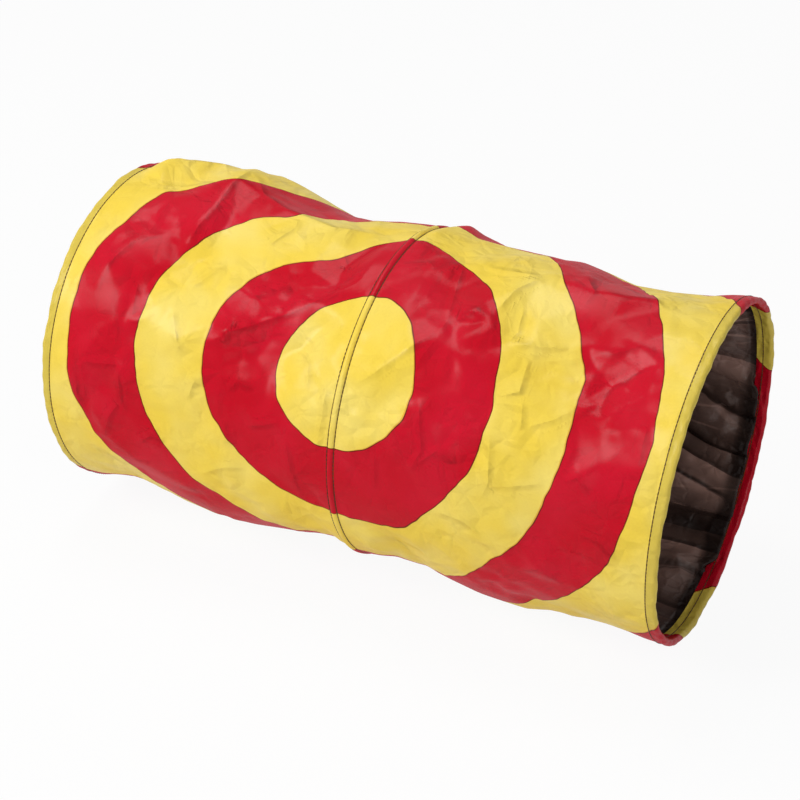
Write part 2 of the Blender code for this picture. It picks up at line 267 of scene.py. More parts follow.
# Where the lining lies in the shade of a deep fold, or in the light if the depth is negative
LINING_SHADES = (
    Fold(1, 0.206, -124, 0.95, 0.030, 6),
    Fold(1, 0.196, -157, 0.60, 0.016, 4),
    Fold(1, 0.228, -93, 0.60, 0.014, 9),
    Fold(1, 0.202, -139, -0.50, 0.024, 6),
    Fold(1, 0.208, 172, -0.45, 0.022, 12),
    Fold(1, 0.204, -108, -0.40, 0.014, 5),
    Fold(-1, 0.190, -60, 0.80, 0.030, 7),
    Fold(-1, 0.180, 30, 0.70, 0.035, 6),
    Fold(-1, 0.200, 120, -0.45, 0.025, 8),
)

# Creases pressed into the cover: their points as (x in millimetres, angle in degrees), how far the line
# stands out (or in, if negative), and how far its two slopes run out, to the left and to the right of its
# course.
Crease = namedtuple("Crease", "points height left right")
CREASES = (
    Crease(((-152, 112), (-147, 96), (-149, 82), (-156, 60)), 0.0071, 0.015, 0.040),
    Crease(((-146, 106), (-124, 95), (-98, 91), (-56, 88), (-22, 95)), 0.0048, 0.022, 0.014),
    Crease(((-112, 32), (-86, 41), (-58, 50), (-40, 56), (-14, 68)), 0.0059, 0.028, 0.020),
    Crease(((-92, 53), (-74, 57), (-56, 60)), 0.0022, 0.012, 0.012),
    Crease(((-96, 34), (-92, 44)), 0.0016, 0.010, 0.010),
    Crease(((-48, 62), (-30, 64), (-14, 76)), -0.0042, 0.014, 0.012),
    Crease(((-98, 72), (-84, 84), (-88, 90)), 0.0023, 0.014, 0.018),
    Crease(((-42, 80), (-32, 74), (-12, 92)), -0.0034, 0.014, 0.014),
    Crease(((-203, 40), (-200, 50), (-192, 60), (-172, 68)), 0.0029, 0.012, 0.022),
    Crease(((-212, 24), (-208, 10), (-206, -2)), 0.0022, 0.012, 0.010),
    Crease(((-205, 17), (-172, 19)), 0.0023, 0.014, 0.012),
    Crease(((-174, 20), (-172, 8), (-166, 2)), 0.0022, 0.012, 0.012),
    Crease(((-190, -12), (-180, 0), (-170, 7)), 0.0026, 0.012, 0.012),
    Crease(((-158, -8), (-146, -4), (-134, -6)), 0.0022, 0.010, 0.010),
    Crease(((-182, -10), (-165, -18), (-150, -16)), 0.0025, 0.014, 0.012),
    Crease(((-138, -30), (-126, -25), (-118, -30)), 0.0025, 0.012, 0.012),
    Crease(((-208, -20), (-196, -27), (-184, -30)), -0.0029, 0.012, 0.014),
    Crease(((-175, 48), (-170, 34)), 0.0019, 0.010, 0.012),
    Crease(((-142, 42), (-130, 32), (-124, 28)), 0.0023, 0.016, 0.020),
    Crease(((-136, 50), (-124, 60), (-112, 62)), 0.0022, 0.016, 0.016),
    Crease(((-118, 12), (-112, 20), (-104, 19)), 0.0017, 0.008, 0.008),
    Crease(((-110, -16), (-86, -9), (-70, -8)), 0.0019, 0.014, 0.012),
    Crease(((-88, 10), (-84, 2), (-76, 0)), 0.0019, 0.009, 0.010),
    Crease(((-86, 19), (-80, 24), (-66, 22)), 0.0014, 0.008, 0.008),
    Crease(((-70, 9), (-56, 11), (-42, 14)), 0.0016, 0.009, 0.009),
    Crease(((-38, 10), (-32, -2), (-26, -14)), 0.0025, 0.012, 0.014),
    Crease(((-40, 40), (-30, 36), (-24, 26)), 0.0022, 0.012, 0.014),
    Crease(((-12, 34), (-9, 20), (-12, 6)), 0.0011, 0.006, 0.008),
    Crease(((-226, 92), (-206, 88), (-190, 92), (-160, 92)), -0.0034, 0.016, 0.014),
    Crease(((-214, 100), (-180, 112), (-168, 104)), 0.0029, 0.016, 0.014),
    Crease(((8, 32), (24, 38), (44, 47), (60, 56)), 0.0045, 0.018, 0.018),
    Crease(((46, 88), (52, 74), (60, 60), (58, 52)), -0.0048, 0.020, 0.020),
    Crease(((64, 60), (76, 66), (88, 64)), 0.0026, 0.014, 0.016),
    Crease(((88, 66), (94, 78), (108, 87)), 0.0033, 0.014, 0.016),
    Crease(((60, 88), (84, 86), (106, 87)), 0.0022, 0.014, 0.012),
    Crease(((18, 84), (30, 80), (44, 88)), 0.0019, 0.010, 0.012),
    Crease(((6, 78), (26, 82)), 0.0014, 0.008, 0.010),
    Crease(((148, 86), (164, 86), (186, 89), (196, 86)), 0.0050, 0.022, 0.018),
    Crease(((132, 94), (144, 86), (142, 78)), 0.0029, 0.012, 0.014),
    Crease(((168, 44), (180, 55), (196, 62), (206, 64)), -0.0047, 0.018, 0.022),
    Crease(((156, 66), (174, 65), (190, 69), (212, 66)), 0.0033, 0.014, 0.014),
    Crease(((166, 42), (178, 47)), 0.0019, 0.010, 0.010),
    Crease(((104, 74), (107, 64), (104, 58)), -0.0023, 0.009, 0.012),
    Crease(((104, 58), (120, 60), (146, 64)), 0.0022, 0.014, 0.014),
    Crease(((110, 40), (124, 44), (122, 56)), 0.0016, 0.012, 0.012),
    Crease(((128, 42), (133, 32)), 0.0017, 0.008, 0.008),
    Crease(((136, 34), (152, 38), (164, 44)), 0.0017, 0.010, 0.010),
    Crease(((112, 30), (118, 14), (112, 6)), 0.0016, 0.010, 0.012),
    Crease(((112, 12), (132, 14), (156, 18)), 0.0019, 0.012, 0.012),
    Crease(((60, 34), (68, 18), (60, 10)), 0.0017, 0.012, 0.014),
    Crease(((62, 12), (80, 20), (98, 16)), 0.0016, 0.012, 0.012),
    Crease(((34, 14), (35, 0)), -0.0011, 0.007, 0.007),
    Crease(((80, -2), (100, -2), (116, -6)), 0.0016, 0.010, 0.010),
    Crease(((168, 20), (178, 23), (188, 18)), 0.0017, 0.009, 0.009),
    Crease(((214, 44), (216, 30)), 0.0014, 0.006, 0.008),
    Crease(((212, -2), (200, 4), (182, 4)), 0.0019, 0.012, 0.012),
    Crease(((140, -18), (156, -14), (172, -20)), 0.0029, 0.014, 0.014),
    Crease(((30, -22), (42, -30), (52, -36)), -0.0034, 0.012, 0.014),
)

# Where the print has been pulled round the cloth in sewing, all in metres: the place along the tunnel and
# round it from the rings' centre, how far the print is pulled there, and how far the pull reaches.
Pull = namedtuple("Pull", "along across shift reach")
PULLS = (
    Pull(0.008, 0.124, 0.017, 0.036),
    Pull(0.068, 0.090, 0.010, 0.046),
    Pull(-0.050, 0.084, -0.015, 0.036),
    Pull(-0.090, 0.118, -0.016, 0.026),
    Pull(-0.150, 0.146, -0.037, 0.034),
    Pull(-0.194, 0.106, 0.007, 0.022),
    Pull(0.080, 0.152, 0.018, 0.034),
    Pull(0.140, 0.168, 0.020, 0.034),
    Pull(0.078, -0.145, -0.015, 0.034),
    Pull(-0.045, -0.152, -0.014, 0.032),
    Pull(-0.175, 0.010, -0.002, 0.040),
    Pull(0.062, -0.122, -0.009, 0.036),
    Pull(0.020, -0.044, 0.003, 0.040),
    Pull(-0.112, 0.174, -0.020, 0.036),
    Pull(-0.228, -0.166, -0.024, 0.030),
    Pull(0.046, -0.166, -0.013, 0.036),
    Pull(0.004, 0.060, 0.006, 0.030),
)

# The photograph's camera
CAMERA_AZIMUTH = math.radians(26.34)
CAMERA_ELEVATION = math.radians(32.71)
CAMERA_DISTANCE = 1.4289
CAMERA_LENS = 86.7
CAMERA_SENSOR = 36
CAMERA_CLIP = 0.05
CAMERA_SHIFT_RIGHT = -0.00614
CAMERA_SHIFT_UP = -0.00665

# The floor: its radius, its corners, how far it lies under the tunnel, and how white it shows to the camera
FLOOR_RADIUS = 6
FLOOR_CORNERS = 96
FLOOR_DEPTH = 0.0002
FLOOR_GLOW = 0.93


# Shape of the cloth


def smooth_step(value):
    """Rises from 0 to 1 as value does, level at both ends: 3v squared less 2v cubed."""
    value = np.clip(value, 0.0, 1.0)
    return value * value * (3 - 2 * value)


def turn_between(first, second):
    """The signed turn from the second angle to the first, within half a turn either way."""
    return (first - second + math.pi) % (2 * math.pi) - math.pi


def round_axis(x, radius, angle, lowest):
    """Points at a radius and angle about the tunnel's axis, none under the lowest height.

    y = -radius cos(angle), and z = the axis's height + radius sin(angle), or the lowest height if it is more.
    """
    x, radius, angle = np.broadcast_arrays(x, radius, angle)
    height = np.maximum(AXIS_HEIGHT + radius * np.sin(angle), lowest)
    return np.stack([x, -radius * np.cos(angle), height], axis=-1)


def facets(across, along, size, seed, turn):
    """Flat facets between -1 and 1: random heights at the corners of a net of triangles, joined by planes.

    The net is turned by an angle. Its corners are a square lattice's, skewed so that each half of a square
    becomes an equal-sided triangle.
    """
    turned_across = (across * math.cos(turn) + along * math.sin(turn)) / size
    turned_along = (along * math.cos(turn) - across * math.sin(turn)) / size
    skew = (turned_across + turned_along) * (math.sqrt(3) - 1) / 2
    column, row = turned_across + skew, turned_along + skew
    first, second = np.floor(column).astype(int), np.floor(row).astype(int)
    column, row = column - first, row - second
    heights = np.random.default_rng(seed).uniform(-1, 1, (LATTICE, LATTICE))
    next_first, next_second = (first + 1) % LATTICE, (second + 1) % LATTICE
    first, second = first % LATTICE, second % LATTICE
    side = np.where(column > row, heights[next_first, second], heights[first, next_second])
    most, least = np.maximum(column, row), np.minimum(column, row)
    near, far = heights[first, second], heights[next_first, next_second]
    return near * (1 - most) + side * (most - least) + far * least


def drift(across, along, size, seed):
    """A slow wander between about -1 and 1: six cosines of random direction and phase, added, over 3."""
    random = np.random.default_rng(seed)
    total = np.zeros(np.broadcast(across, along).shape)
    for _ in range(6):
        heading, phase = random.uniform(0, 2 * math.pi, 2)
        pitch = 2 * math.pi / size * random.uniform(0.7, 1.4)
        total = total + np.cos(pitch * (across * math.cos(heading) + along * math.sin(heading)) + phase)
    return total / 3


def crumple(across, along, seed, layers):
    """Layers of facets, each (size, depth), one over another, their lattices bent by a slow drift."""
    total = np.zeros(np.broadcast(across, along).shape)
    for step, (size, depth) in enumerate(layers):
        own = seed + 31 * step
        bent_across = across + 0.3 * size * drift(across, along, 3 * size, own)
        bent_along = along + 0.3 * size * drift(across, along, 3 * size, own + 7)
        total = total + depth * facets(bent_across, bent_along, size, own + 13, 0.4 + 1.1 * step)
    return total


def across_from_opposite(angle, seam=COVER_SEAM):
    """Signed distance round the cloth from the line opposite its long seam."""
    return TUNNEL_RADIUS * turn_between(angle, seam + math.pi)


def across_from_seam(angle, seam=COVER_SEAM):
    """Signed distance round the cloth from its long seam."""
    return TUNNEL_RADIUS * turn_between(angle, seam)


def faded(share, end):
    """Rises smoothly from 0 to 1 over the first part of a line, and falls back over as much at its end.

    It is the smooth step of the share of the line over that part, times the same counted from the end.
    """
    return smooth_step(share / end) * smooth_step((1 - share) / end)


def crease_points(crease):
    """The crease's points as (distance from the middle hoop, distance round the cover)."""
    x, angle = np.array(crease.points, dtype=float).T
    return np.stack([np.abs(x) / 1000, across_from_opposite(np.radians(angle))], axis=1)


def beside_line(places, points):
    """For each place its distance from a broken line, its signed distance aside, and its share of the line.

    Both distances are to the nearest step of the line. The share is the length of the line up to the
    nearest point over its whole length.
    """
    steps = np.diff(points, axis=0)
    lengths = np.hypot(*steps.T)
    headings = steps / lengths[:, None]
    away = places[:, None, :] - points[None, :-1, :]
    ahead = (away * headings).sum(axis=2)
    aside = away[..., 1] * headings[:, 0] - away[..., 0] * headings[:, 1]
    inside = np.clip(ahead, 0, lengths)
    distance = np.hypot(ahead - inside, aside)
    nearest = distance.argmin(axis=1)
    row = np.arange(len(places))
    done = np.concatenate([[0], np.cumsum(lengths)[:-1]])
    share = (done[nearest] + inside[row, nearest]) / lengths.sum()
    return distance[row, nearest], aside[row, nearest], share


def pressed_height(places, crease, bay):
    """A crease's height at each place: a straight slope from its line down to its reach on that side.

    Towards each end of the line the height fades.
    """
    distance, aside, share = beside_line(places, crease_points(crease))
    reach = np.where(aside * bay > 0, crease.left, crease.right)
    fading = CREASE_END_HEIGHT + (1 - CREASE_END_HEIGHT) * faded(share, CREASE_FADE)
    return crease.height * np.clip(1 - distance / reach, 0, None) * fading


def nearest_crease(bay, along, angle):
    """For each place the signed distance from the crease that is strongest there, and its strength, 0 to 1.

    The strength falls straight to nothing at CREASE_REACH from the line, and smoothly at its two ends.
    """
    along, across = np.broadcast_arrays(along, across_from_opposite(angle))
    places = np.stack([along, across], axis=-1).reshape(-1, 2)
    aside_of_all, strength_of_all = np.full(len(places), CREASE_REACH), np.zeros(len(places))
    for crease in CREASES:
        if crease.points[0][0] * bay < 0:
            continue
        points = crease_points(crease)
        low, high = points.min(axis=0) - CREASE_REACH, points.max(axis=0) + CREASE_REACH
        near = np.flatnonzero(np.all((places > low) & (places < high), axis=1))
        distance, aside, share = beside_line(places[near], points)
        strength = np.clip(1 - distance / CREASE_REACH, 0, None) * faded(share, WEAR_FADE)
        stronger = strength > strength_of_all[near]
        chosen = near[stronger]
        strength_of_all[chosen] = strength[stronger]
        aside_of_all[chosen] = (np.sign(aside) * distance)[stronger] * np.sign(crease.height)
    return aside_of_all.reshape(along.shape), strength_of_all.reshape(along.shape)


class FoldNet:
    """A net of flat triangles over one bay of the cover, whose sides follow the creases.

    Its corners are the creases' points, points along the stitching at both ends of the bay and a jittered
    lattice between them. A corner stands out by the main folds, the creases and a small random height, and
    the cloth between corners is flat.
    """

    def __init__(self, bay, depth):
        random = np.random.default_rng(7 if bay < 0 else 8)
        creases = [crease for crease in CREASES if crease.points[0][0] * bay > 0]
        lines = [crease_points(crease) for crease in creases]
        half = math.pi * TUNNEL_RADIUS
        corners, sides = [], []
        for line in lines:
            sides += [(len(corners) + step, len(corners) + step + 1) for step in range(len(line) - 1)]
            corners += line.tolist()
        for edge in (BAND_EDGE_X, STITCH_X):
            count = round(2 * half / SEAM_SPACING)
            jitter = random.uniform(-SEAM_JITTER, SEAM_JITTER, count + 1) * SEAM_SPACING
            jitter[[0, -1]] = 0
            round_it = np.linspace(-half, half, count + 1) + jitter
            corners += [(edge, place) for place in round_it]
        across, along = np.meshgrid(
            np.arange(-half, half + NET_SPACING, NET_SPACING),
            np.arange(BAND_EDGE_X + 0.6 * NET_SPACING, STITCH_X - 0.4 * NET_SPACING, NET_SPACING * ROW_PITCH),
        )
        across = across + np.where(np.arange(len(along)) % 2, 0.5 * NET_SPACING, 0)[:, None]
        loose = np.stack([along, across], axis=-1).reshape(-1, 2)
        loose = loose + random.uniform(-NET_JITTER, NET_JITTER, loose.shape) * NET_SPACING
        loose = loose[np.abs(loose[:, 1]) < half - LONG_SEAM_CLEARANCE]
        loose = loose[loose[:, 0] < STITCH_X - STITCHING_CLEARANCE]
        for line in lines:
            loose = loose[beside_line(loose, line)[0] > CREASE_CLEARANCE * NET_SPACING]
        corners += loose.tolist()
        found = delaunay_2d_cdt([Vector(corner) for corner in corners], sides, [], 0, 1e-5)
        self.corners = np.array(found[0])
        self.triangles = np.array(found[2])
        self.heights = self.corner_heights(bay, depth, creases, random)

    def corner_heights(self, bay, depth, creases, random):
        """How far each corner stands out: the main folds, the creases, and a random height in patches."""
        along, across = self.corners.T
        angle = COVER_SEAM + math.pi + across / TUNNEL_RADIUS
        pressed = sum(pressed_height(self.corners, crease, bay) for crease in creases)
        patches = 0.75 + 0.45 * drift(across, along, 0.14, 53 + bay)
        pushed = random.uniform(-1, 1, len(along)) * NET_DEPTH * depth * patches
        to_seam = np.minimum(along - BAND_EDGE_X, STITCH_X - along)
        to_long_seam = math.pi * TUNNEL_RADIUS - np.abs(across)
        held = smooth_step(to_seam / SEAM_HOLD) * smooth_step(to_long_seam / LONG_SEAM_HOLD)
        return main_folds(bay, along, angle) + (pressed + pushed) * held

    def at(self, along, across):
        """The height at each row's distance along the bay and each column's distance round it.

        Within a triangle it is the mean of the corners' heights, each weighted by the area that the place
        makes with the other two corners. Then the folds' edges are rounded: each height is averaged with
        its neighbours, 1 to 2 to 1, along the bay and round it.
        """
        total = np.zeros((along.size, across.size))
        for triangle in self.triangles:
            corners = self.corners[triangle]
            low, high = corners.min(axis=0), corners.max(axis=0)
            rows = np.flatnonzero((along >= low[0]) & (along <= high[0]))
            columns = np.flatnonzero((across >= low[1]) & (across <= high[1]))
            second, third = corners[1:] - corners[0]
            area = second[0] * third[1] - second[1] * third[0]
            if not rows.size or not columns.size or abs(area) < 1e-12:
                continue
            ahead = along[rows][:, None] - corners[0, 0]
            aside = across[columns][None, :] - corners[0, 1]
            to_second = (ahead * third[1] - aside * third[0]) / area
            to_third = (aside * second[0] - ahead * second[1]) / area
            height, second_height, third_height = self.heights[triangle]
            value = height + to_second * (second_height - height) + to_third * (third_height - height)
            inside = (to_second > -1e-6) & (to_third > -1e-6) & (to_second + to_third < 1 + 1e-6)
            place = np.ix_(rows, columns)
            total[place] = np.where(inside, value, total[place])
        total[1:-1] = (total[:-2] + 2 * total[1:-1] + total[2:]) / 4
        return (np.roll(total, 1, axis=1) + 2 * total + np.roll(total, -1, axis=1)) / 4


@functools.lru_cache
def fold_net(bay, depth):
    """A bay's net of facets, made once for the cover, the film and the lining."""
    return FoldNet(bay, depth)


def bells(folds, bay, along, angle):
    """The sum of one bay's folds, each depth * exp(-a^2 - t^2).

    Here a is the distance along the tunnel from the fold's place over its reach, and t the turn over its
    own.
    """
    total = np.zeros(np.broadcast(along, angle).shape)
    for fold in folds:
        if fold.bay == bay:
            away = (along - fold.along) / fold.reach
            turned = turn_between(angle, math.radians(fold.angle)) / math.radians(fold.turn)
            total = total + fold.depth * np.exp(-away * away - turned * turned)
    return total


def main_folds(bay, along, angle):
    """How far the cloth stands out from the straight line between its seams, as in the frame's solids.

    It is a waist, a slanting ripple and the sum of the folds, each a bell curve both ways, all held to
    nothing at the seams.
    """
    share = (along - BAND_EDGE_X) / (LAP_X - BAND_EDGE_X)
    slant = RIPPLE_COUNT * angle + bay * RIPPLE_SLANT * math.pi * share
    offset = -WAIST_DEPTH * np.sin(math.pi * share) + RIPPLE_DEPTH * np.sin(slant)
    to_seam = np.minimum(along - BAND_EDGE_X, LAP_X - along)
    return (offset + bells(FOLDS, bay, along, angle)) * smooth_step(to_seam / HOLD_REACH)


def fine_folds(bay, along, angle, depth):
    """What lies over the net of facets: crumples in patches, gathers at the seams, and the long seam."""
    x = bay * along
    across = across_from_opposite(angle)
    seed = 50 if bay < 0 else 90
    loose = smooth_step(0.62 + 0.8 * drift(across, x, 0.09, seed + 3))
    crumples = loose * crumple(across, x, seed, COVER_CRUMPLES)
    to_seam = np.minimum(along - BAND_EDGE_X, STITCH_X - along)
    gathers = facets(across / GATHER_WIDTH, x / 0.040, 1.0, seed + 5, 0.0) * np.exp(-to_seam / GATHER_REACH)
    held = smooth_step(to_seam / SEAM_HOLD)
    to_long_seam = np.abs(across_from_seam(angle))
    smoothed = smooth_step(to_long_seam / SEAM_SMOOTH_REACH)
    groove = -SEAM_GROOVE * np.exp(-((to_long_seam / SEAM_GROOVE_REACH) ** 2)) * smooth_step(to_seam / 0.004)
    gathered = GATHER_DEPTH * gathers * smooth_step(to_seam / 0.003)
    return depth * crumples * held * smoothed + gathered * smoothed + groove


def cover_radius(bay, along, angle, depth):
    """The radius of the cover's outer face: a straight line from seam to seam, the net and the fine folds.

    Distances along the bay go down the rows, and angles along the columns.
    """
    share = (along - BAND_EDGE_X) / (STITCH_X - BAND_EDGE_X)
    line = COVER_AT_BAND + (COVER_AT_HEM - COVER_AT_BAND) * share
    net = fold_net(bay, depth).at(np.ravel(along), across_from_opposite(np.ravel(angle)))
    return line + net + fine_folds(bay, along, angle, depth)


# Meshes


def normals_of(points):
    """Unit normals of a grid that closes round its second way, from the cross product of its two slopes."""
    rows = np.gradient(points, axis=0)
    columns = np.roll(points, -1, axis=1) - np.roll(points, 1, axis=1)
    normals = np.cross(rows, columns)
    return normals / np.linalg.norm(normals, axis=2, keepdims=True)


def grid_faces(rows, columns, first, flipped):
    """Four-cornered faces of a grid that closes round its second way, in the order that faces outwards."""
    row, column = np.meshgrid(np.arange(rows - 1), np.arange(columns), indexing="ij")
    following = (column + 1) % columns
    corners = [row * columns + column, row * columns + following]
    corners += [(row + 1) * columns + following, (row + 1) * columns + column]
    if flipped:
        corners = corners[::-1]
    return first + np.stack(corners, axis=-1).reshape(-1, 4)


def grid_map(values, rows, columns, flipped):
    """Each face's corner values, from a grid of values with one column more than the grid of points."""
    row, column = np.meshgrid(np.arange(rows - 1), np.arange(columns), indexing="ij")
    corners = [values[row, column], values[row, column + 1]]
    corners += [values[row + 1, column + 1], values[row + 1, column]]
    if flipped:
        corners = corners[::-1]
    return np.stack(corners, axis=2).reshape(-1, 2)


def new_piece(name, points, faces, maps, material):
    """A mesh object at the origin from arrays of points, faces and corner maps, smooth but for its rims."""
    mesh = bpy.data.meshes.new(name)
    mesh.from_pydata(points.tolist(), [], faces.tolist())
    for map_name, values in maps.items():
        layer = mesh.uv_layers.new(name=map_name)
        layer.uv.foreach_set("vector", values.astype(np.float32).ravel())
    mesh.shade_smooth()
    mesh.set_sharp_from_angle(angle=RIM_ANGLE)
    mesh.materials.append(material)
    mesh.validate()
    piece = bpy.data.objects.new(name, mesh)
    bpy.context.scene.collection.objects.link(piece)
    return piece


def cloth_piece(name, shown, hidden, print_map, material, outer_share=0.72):
    """A closed ply of cloth from two grids of points, its shown face and its hidden one, joined at both rims.

    Rows run along the tunnel and columns once round it. The faces are turned so that the shown face's
    normals, the cross products of its two steps, point away from the hidden face. The bake map lays the
    shown face out as one rectangle, with the hidden face below it and the rims above and below both.
    """
    rows, columns = shown.shape[:2]
    middle = shown[rows // 2]
    spin = np.cross(np.roll(middle, -1, axis=0) - middle, shown[rows // 2 + 1] - middle)
    flipped = float(np.sum(spin * (shown - hidden)[rows // 2])) < 0
    count = rows * columns
    points = np.concatenate([shown.reshape(-1, 3), hidden.reshape(-1, 3)])
    faces = [grid_faces(rows, columns, 0, flipped), grid_faces(rows, columns, count, not flipped)]
    column = np.arange(columns)
    following = (column + 1) % columns
    strips, strip_maps, bake_strips = [], [], []
    share = np.linspace(0, 1, columns + 1)
    for row, level, inwards in ((0, BAKE_RIMS[0], flipped), (rows - 1, BAKE_RIMS[1], not flipped)):
        near, far = row * columns + column, row * columns + following
        corners = [near, near + count, far + count, far]
        at = [print_map[row, :-1], print_map[row, :-1], print_map[row, 1:], print_map[row, 1:]]
        low, high = np.full(columns, level), np.full(columns, level + BAKE_RIM_HEIGHT)
        laid = [(share[:-1], low), (share[:-1], high), (share[1:], high), (share[1:], low)]
        laid = [np.stack(pair, axis=-1) for pair in laid]
        if inwards:
            corners, at, laid = corners[::-1], at[::-1], laid[::-1]
        strips.append(np.stack(corners, axis=-1))
        strip_maps.append(np.stack(at, axis=1).reshape(-1, 2))
        bake_strips.append(np.stack(laid, axis=1).reshape(-1, 2))
    base = BAKE_TOP - BAKE_HEIGHT * outer_share
    upper = np.stack(np.meshgrid(share, np.linspace(base, BAKE_TOP, rows)), axis=-1)
    lower = np.stack(np.meshgrid(share, np.linspace(BAKE_BOTTOM, base - BAKE_GAP, rows)), axis=-1)
    maps = {}
    for map_name, first, second, rims in (
        (CLOTH_MAP, print_map, print_map, strip_maps),
        (BAKE_MAP, upper, lower, bake_strips),
    ):
        grids = [grid_map(first, rows, columns, flipped), grid_map(second, rows, columns, not flipped)]
        maps[map_name] = np.concatenate(grids + rims)
    return new_piece(name, points, np.concatenate(faces + strips), maps, material)


def store_at_points(piece, stored):
    """Stores values as attributes of the piece's points, the same on the shown face and on the hidden one."""
    for name, values in stored.items():
        layer = piece.data.attributes.new(name, "FLOAT", "POINT")
        layer.data.foreach_set("value", np.tile(values.ravel(), 2).astype(np.float32))


def round_angles(seam):
    """The columns' angles, once round from a seam, and the same with the closing column added."""
    closed = seam + np.linspace(0, 2 * math.pi, COLUMNS + 1)
    return closed[:-1], closed


def print_places(reach, closed, centre):
    """Places on the print in metres: along it from the middle hoop, and round it from the rings' centre.

    Each pull moves the print round the cloth by shift * exp(-(distance / reach)^2).
    """
    circumference = 2 * math.pi * TUNNEL_RADIUS
    reach = np.broadcast_to(reach, (reach.shape[0], closed.size))
    round_it = TUNNEL_RADIUS * (closed - centre)
    round_it = round_it + circumference * np.round(-round_it.mean() / circumference)
    pulled = np.broadcast_to(round_it, reach.shape)
    for pull in PULLS:
        distance = np.hypot(reach - pull.along, round_it - pull.across)
        pulled = pulled - pull.shift * np.exp(-((distance / pull.reach) ** 2))
    return np.stack([reach, pulled], axis=-1)


def ply(bay, along, radius, depth, thickness, seam, centre):
    """One ply of one bay, as its outer face, its inner face and its map.

    The outer face lies this deep under the cover. Its distances from the middle hoop and its radii are
    given for each row along the bay and each column round it. The inner face lies a thickness away along
    its normals. The map follows the cloth: the length of each line along the tunnel, scaled so that all end
    alike.
    """
    angle, closed = round_angles(seam)
    outer = round_axis(bay * along, radius, angle[None, :], depth)
    inner = outer - thickness * bay * normals_of(outer)
    inner[[0, -1], :, 0] = outer[[0, -1], :, 0]
    steps = np.linalg.norm(np.diff(outer, axis=0), axis=2)
    length = np.concatenate([np.zeros((1, COLUMNS)), np.cumsum(steps, axis=0)])
    length = BAND_EDGE_X + length / length[-1] * (along.max() - BAND_EDGE_X)
    length = np.concatenate([length, length[:, :1]], axis=1)
    return outer, inner, print_places(bay * length, closed, centre)


def follow_fold(piece):
    """Attaches a ply of cloth to the middle body and gives it a mesh of its own."""
    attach(piece, "middle")
    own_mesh(piece)


def hem_line(count):
    """The hem's outer face, as points (distance from the middle, radius).

    It runs straight from the stitching to the fold, round the fold's circle, and straight back inside to
    the end of the lap. Each straight run touches the circle at the angle whose cosine is the circle's
    radius over the distance from its centre to the run's other end.
    """

    def touch(x, radius, side):
        """The angle on the fold's circle at which a line from a point touches it on one side."""
        across, up = x - HOOP_X, radius - HOOP_RADIUS
        reach = math.acos(FOLD_RADIUS / math.hypot(across, up))
        return math.atan2(up, across) - side * reach

    first, last = touch(STITCH_X, COVER_AT_HEM, 1), touch(LAP_X, LAP_RADIUS, -1)
    last -= 2 * math.pi * (last > first)
    turn = np.linspace(first, last, count // 2)
    arc = np.stack([HOOP_X + FOLD_RADIUS * np.cos(turn), HOOP_RADIUS + FOLD_RADIUS * np.sin(turn)], axis=1)
    share = np.linspace(0, 1, count // 4 + 1)[:, None]
    outside = np.array([[STITCH_X, COVER_AT_HEM]]) * (1 - share) + arc[:1] * share
    inside = arc[-1:] * (1 - share) + np.array([[LAP_X, LAP_RADIUS]]) * share
    return np.concatenate([outside[:-1], arc, inside[1:]])


def hem_course():
    """The hem's line, and the length of cloth from the middle hoop to each of its points."""
    line = hem_line(HEM_ROWS)
    return line, STITCH_X + np.concatenate([[0], np.cumsum(np.hypot(*np.diff(line, axis=0).T))])


def needle_places():
    """Where the needle passes through the hem's outer and inner ply, each as (length of cloth, radius)."""
    line, length = hem_course()
    values = np.stack([length, line[:, 1]])
    fold = int(np.argmax(line[:, 0]))
    outer = [float(np.interp(NEEDLE_X, line[: fold + 1, 0], run[: fold + 1])) for run in values]
    inner = [float(np.interp(-NEEDLE_X, -line[fold:, 0], run[fold:])) for run in values]
    return outer, inner


def line_normals(line):
    """Unit normals of a plane line, a quarter turn to the left of its course."""
    course = np.gradient(line, axis=0)
    course = course / np.linalg.norm(course, axis=1, keepdims=True)
    return np.stack([-course[:, 1], course[:, 0]], axis=1)


# Materials


class Wire:
    """A value in a material. Arithmetic on it adds the Math nodes that work it out."""

    def __init__(self, graph, socket):
        self.graph = graph
        self.socket = socket

    def math(self, operation, *others):
        """One Math node on this value and the others."""
        values = dict(enumerate((self, *others)))
        return self.graph.node("ShaderNodeMath", {"operation": operation}, values)

    def __add__(self, other):
        return self.math("ADD", other)

    def __sub__(self, other):
        return self.math("SUBTRACT", other)

    def __rsub__(self, other):
        return (self * -1.0) + other

    def __mul__(self, other):
        return self.math("MULTIPLY", other)

    def __truediv__(self, other):
        return self.math("DIVIDE", other)

    def __pow__(self, other):
        return self.math("POWER", other)

    def __mod__(self, other):
        return self.math("FLOORED_MODULO", other)

    def __lt__(self, other):
        return self.math("LESS_THAN", other)

    def __gt__(self, other):
        return self.math("GREATER_THAN", other)

    __radd__ = __add__
    __rmul__ = __mul__

    def between(self, low, high):
        """Rises smoothly from 0 at low to 1 at high, or falls if low is the greater."""
        settings = {"interpolation_type": "SMOOTHSTEP"}
        values = {"Value": self, "From Min": min(low, high), "From Max": max(low, high)}
        rising = self.graph.node("ShaderNodeMapRange", settings, values)
        return rising if low < high else 1 - rising


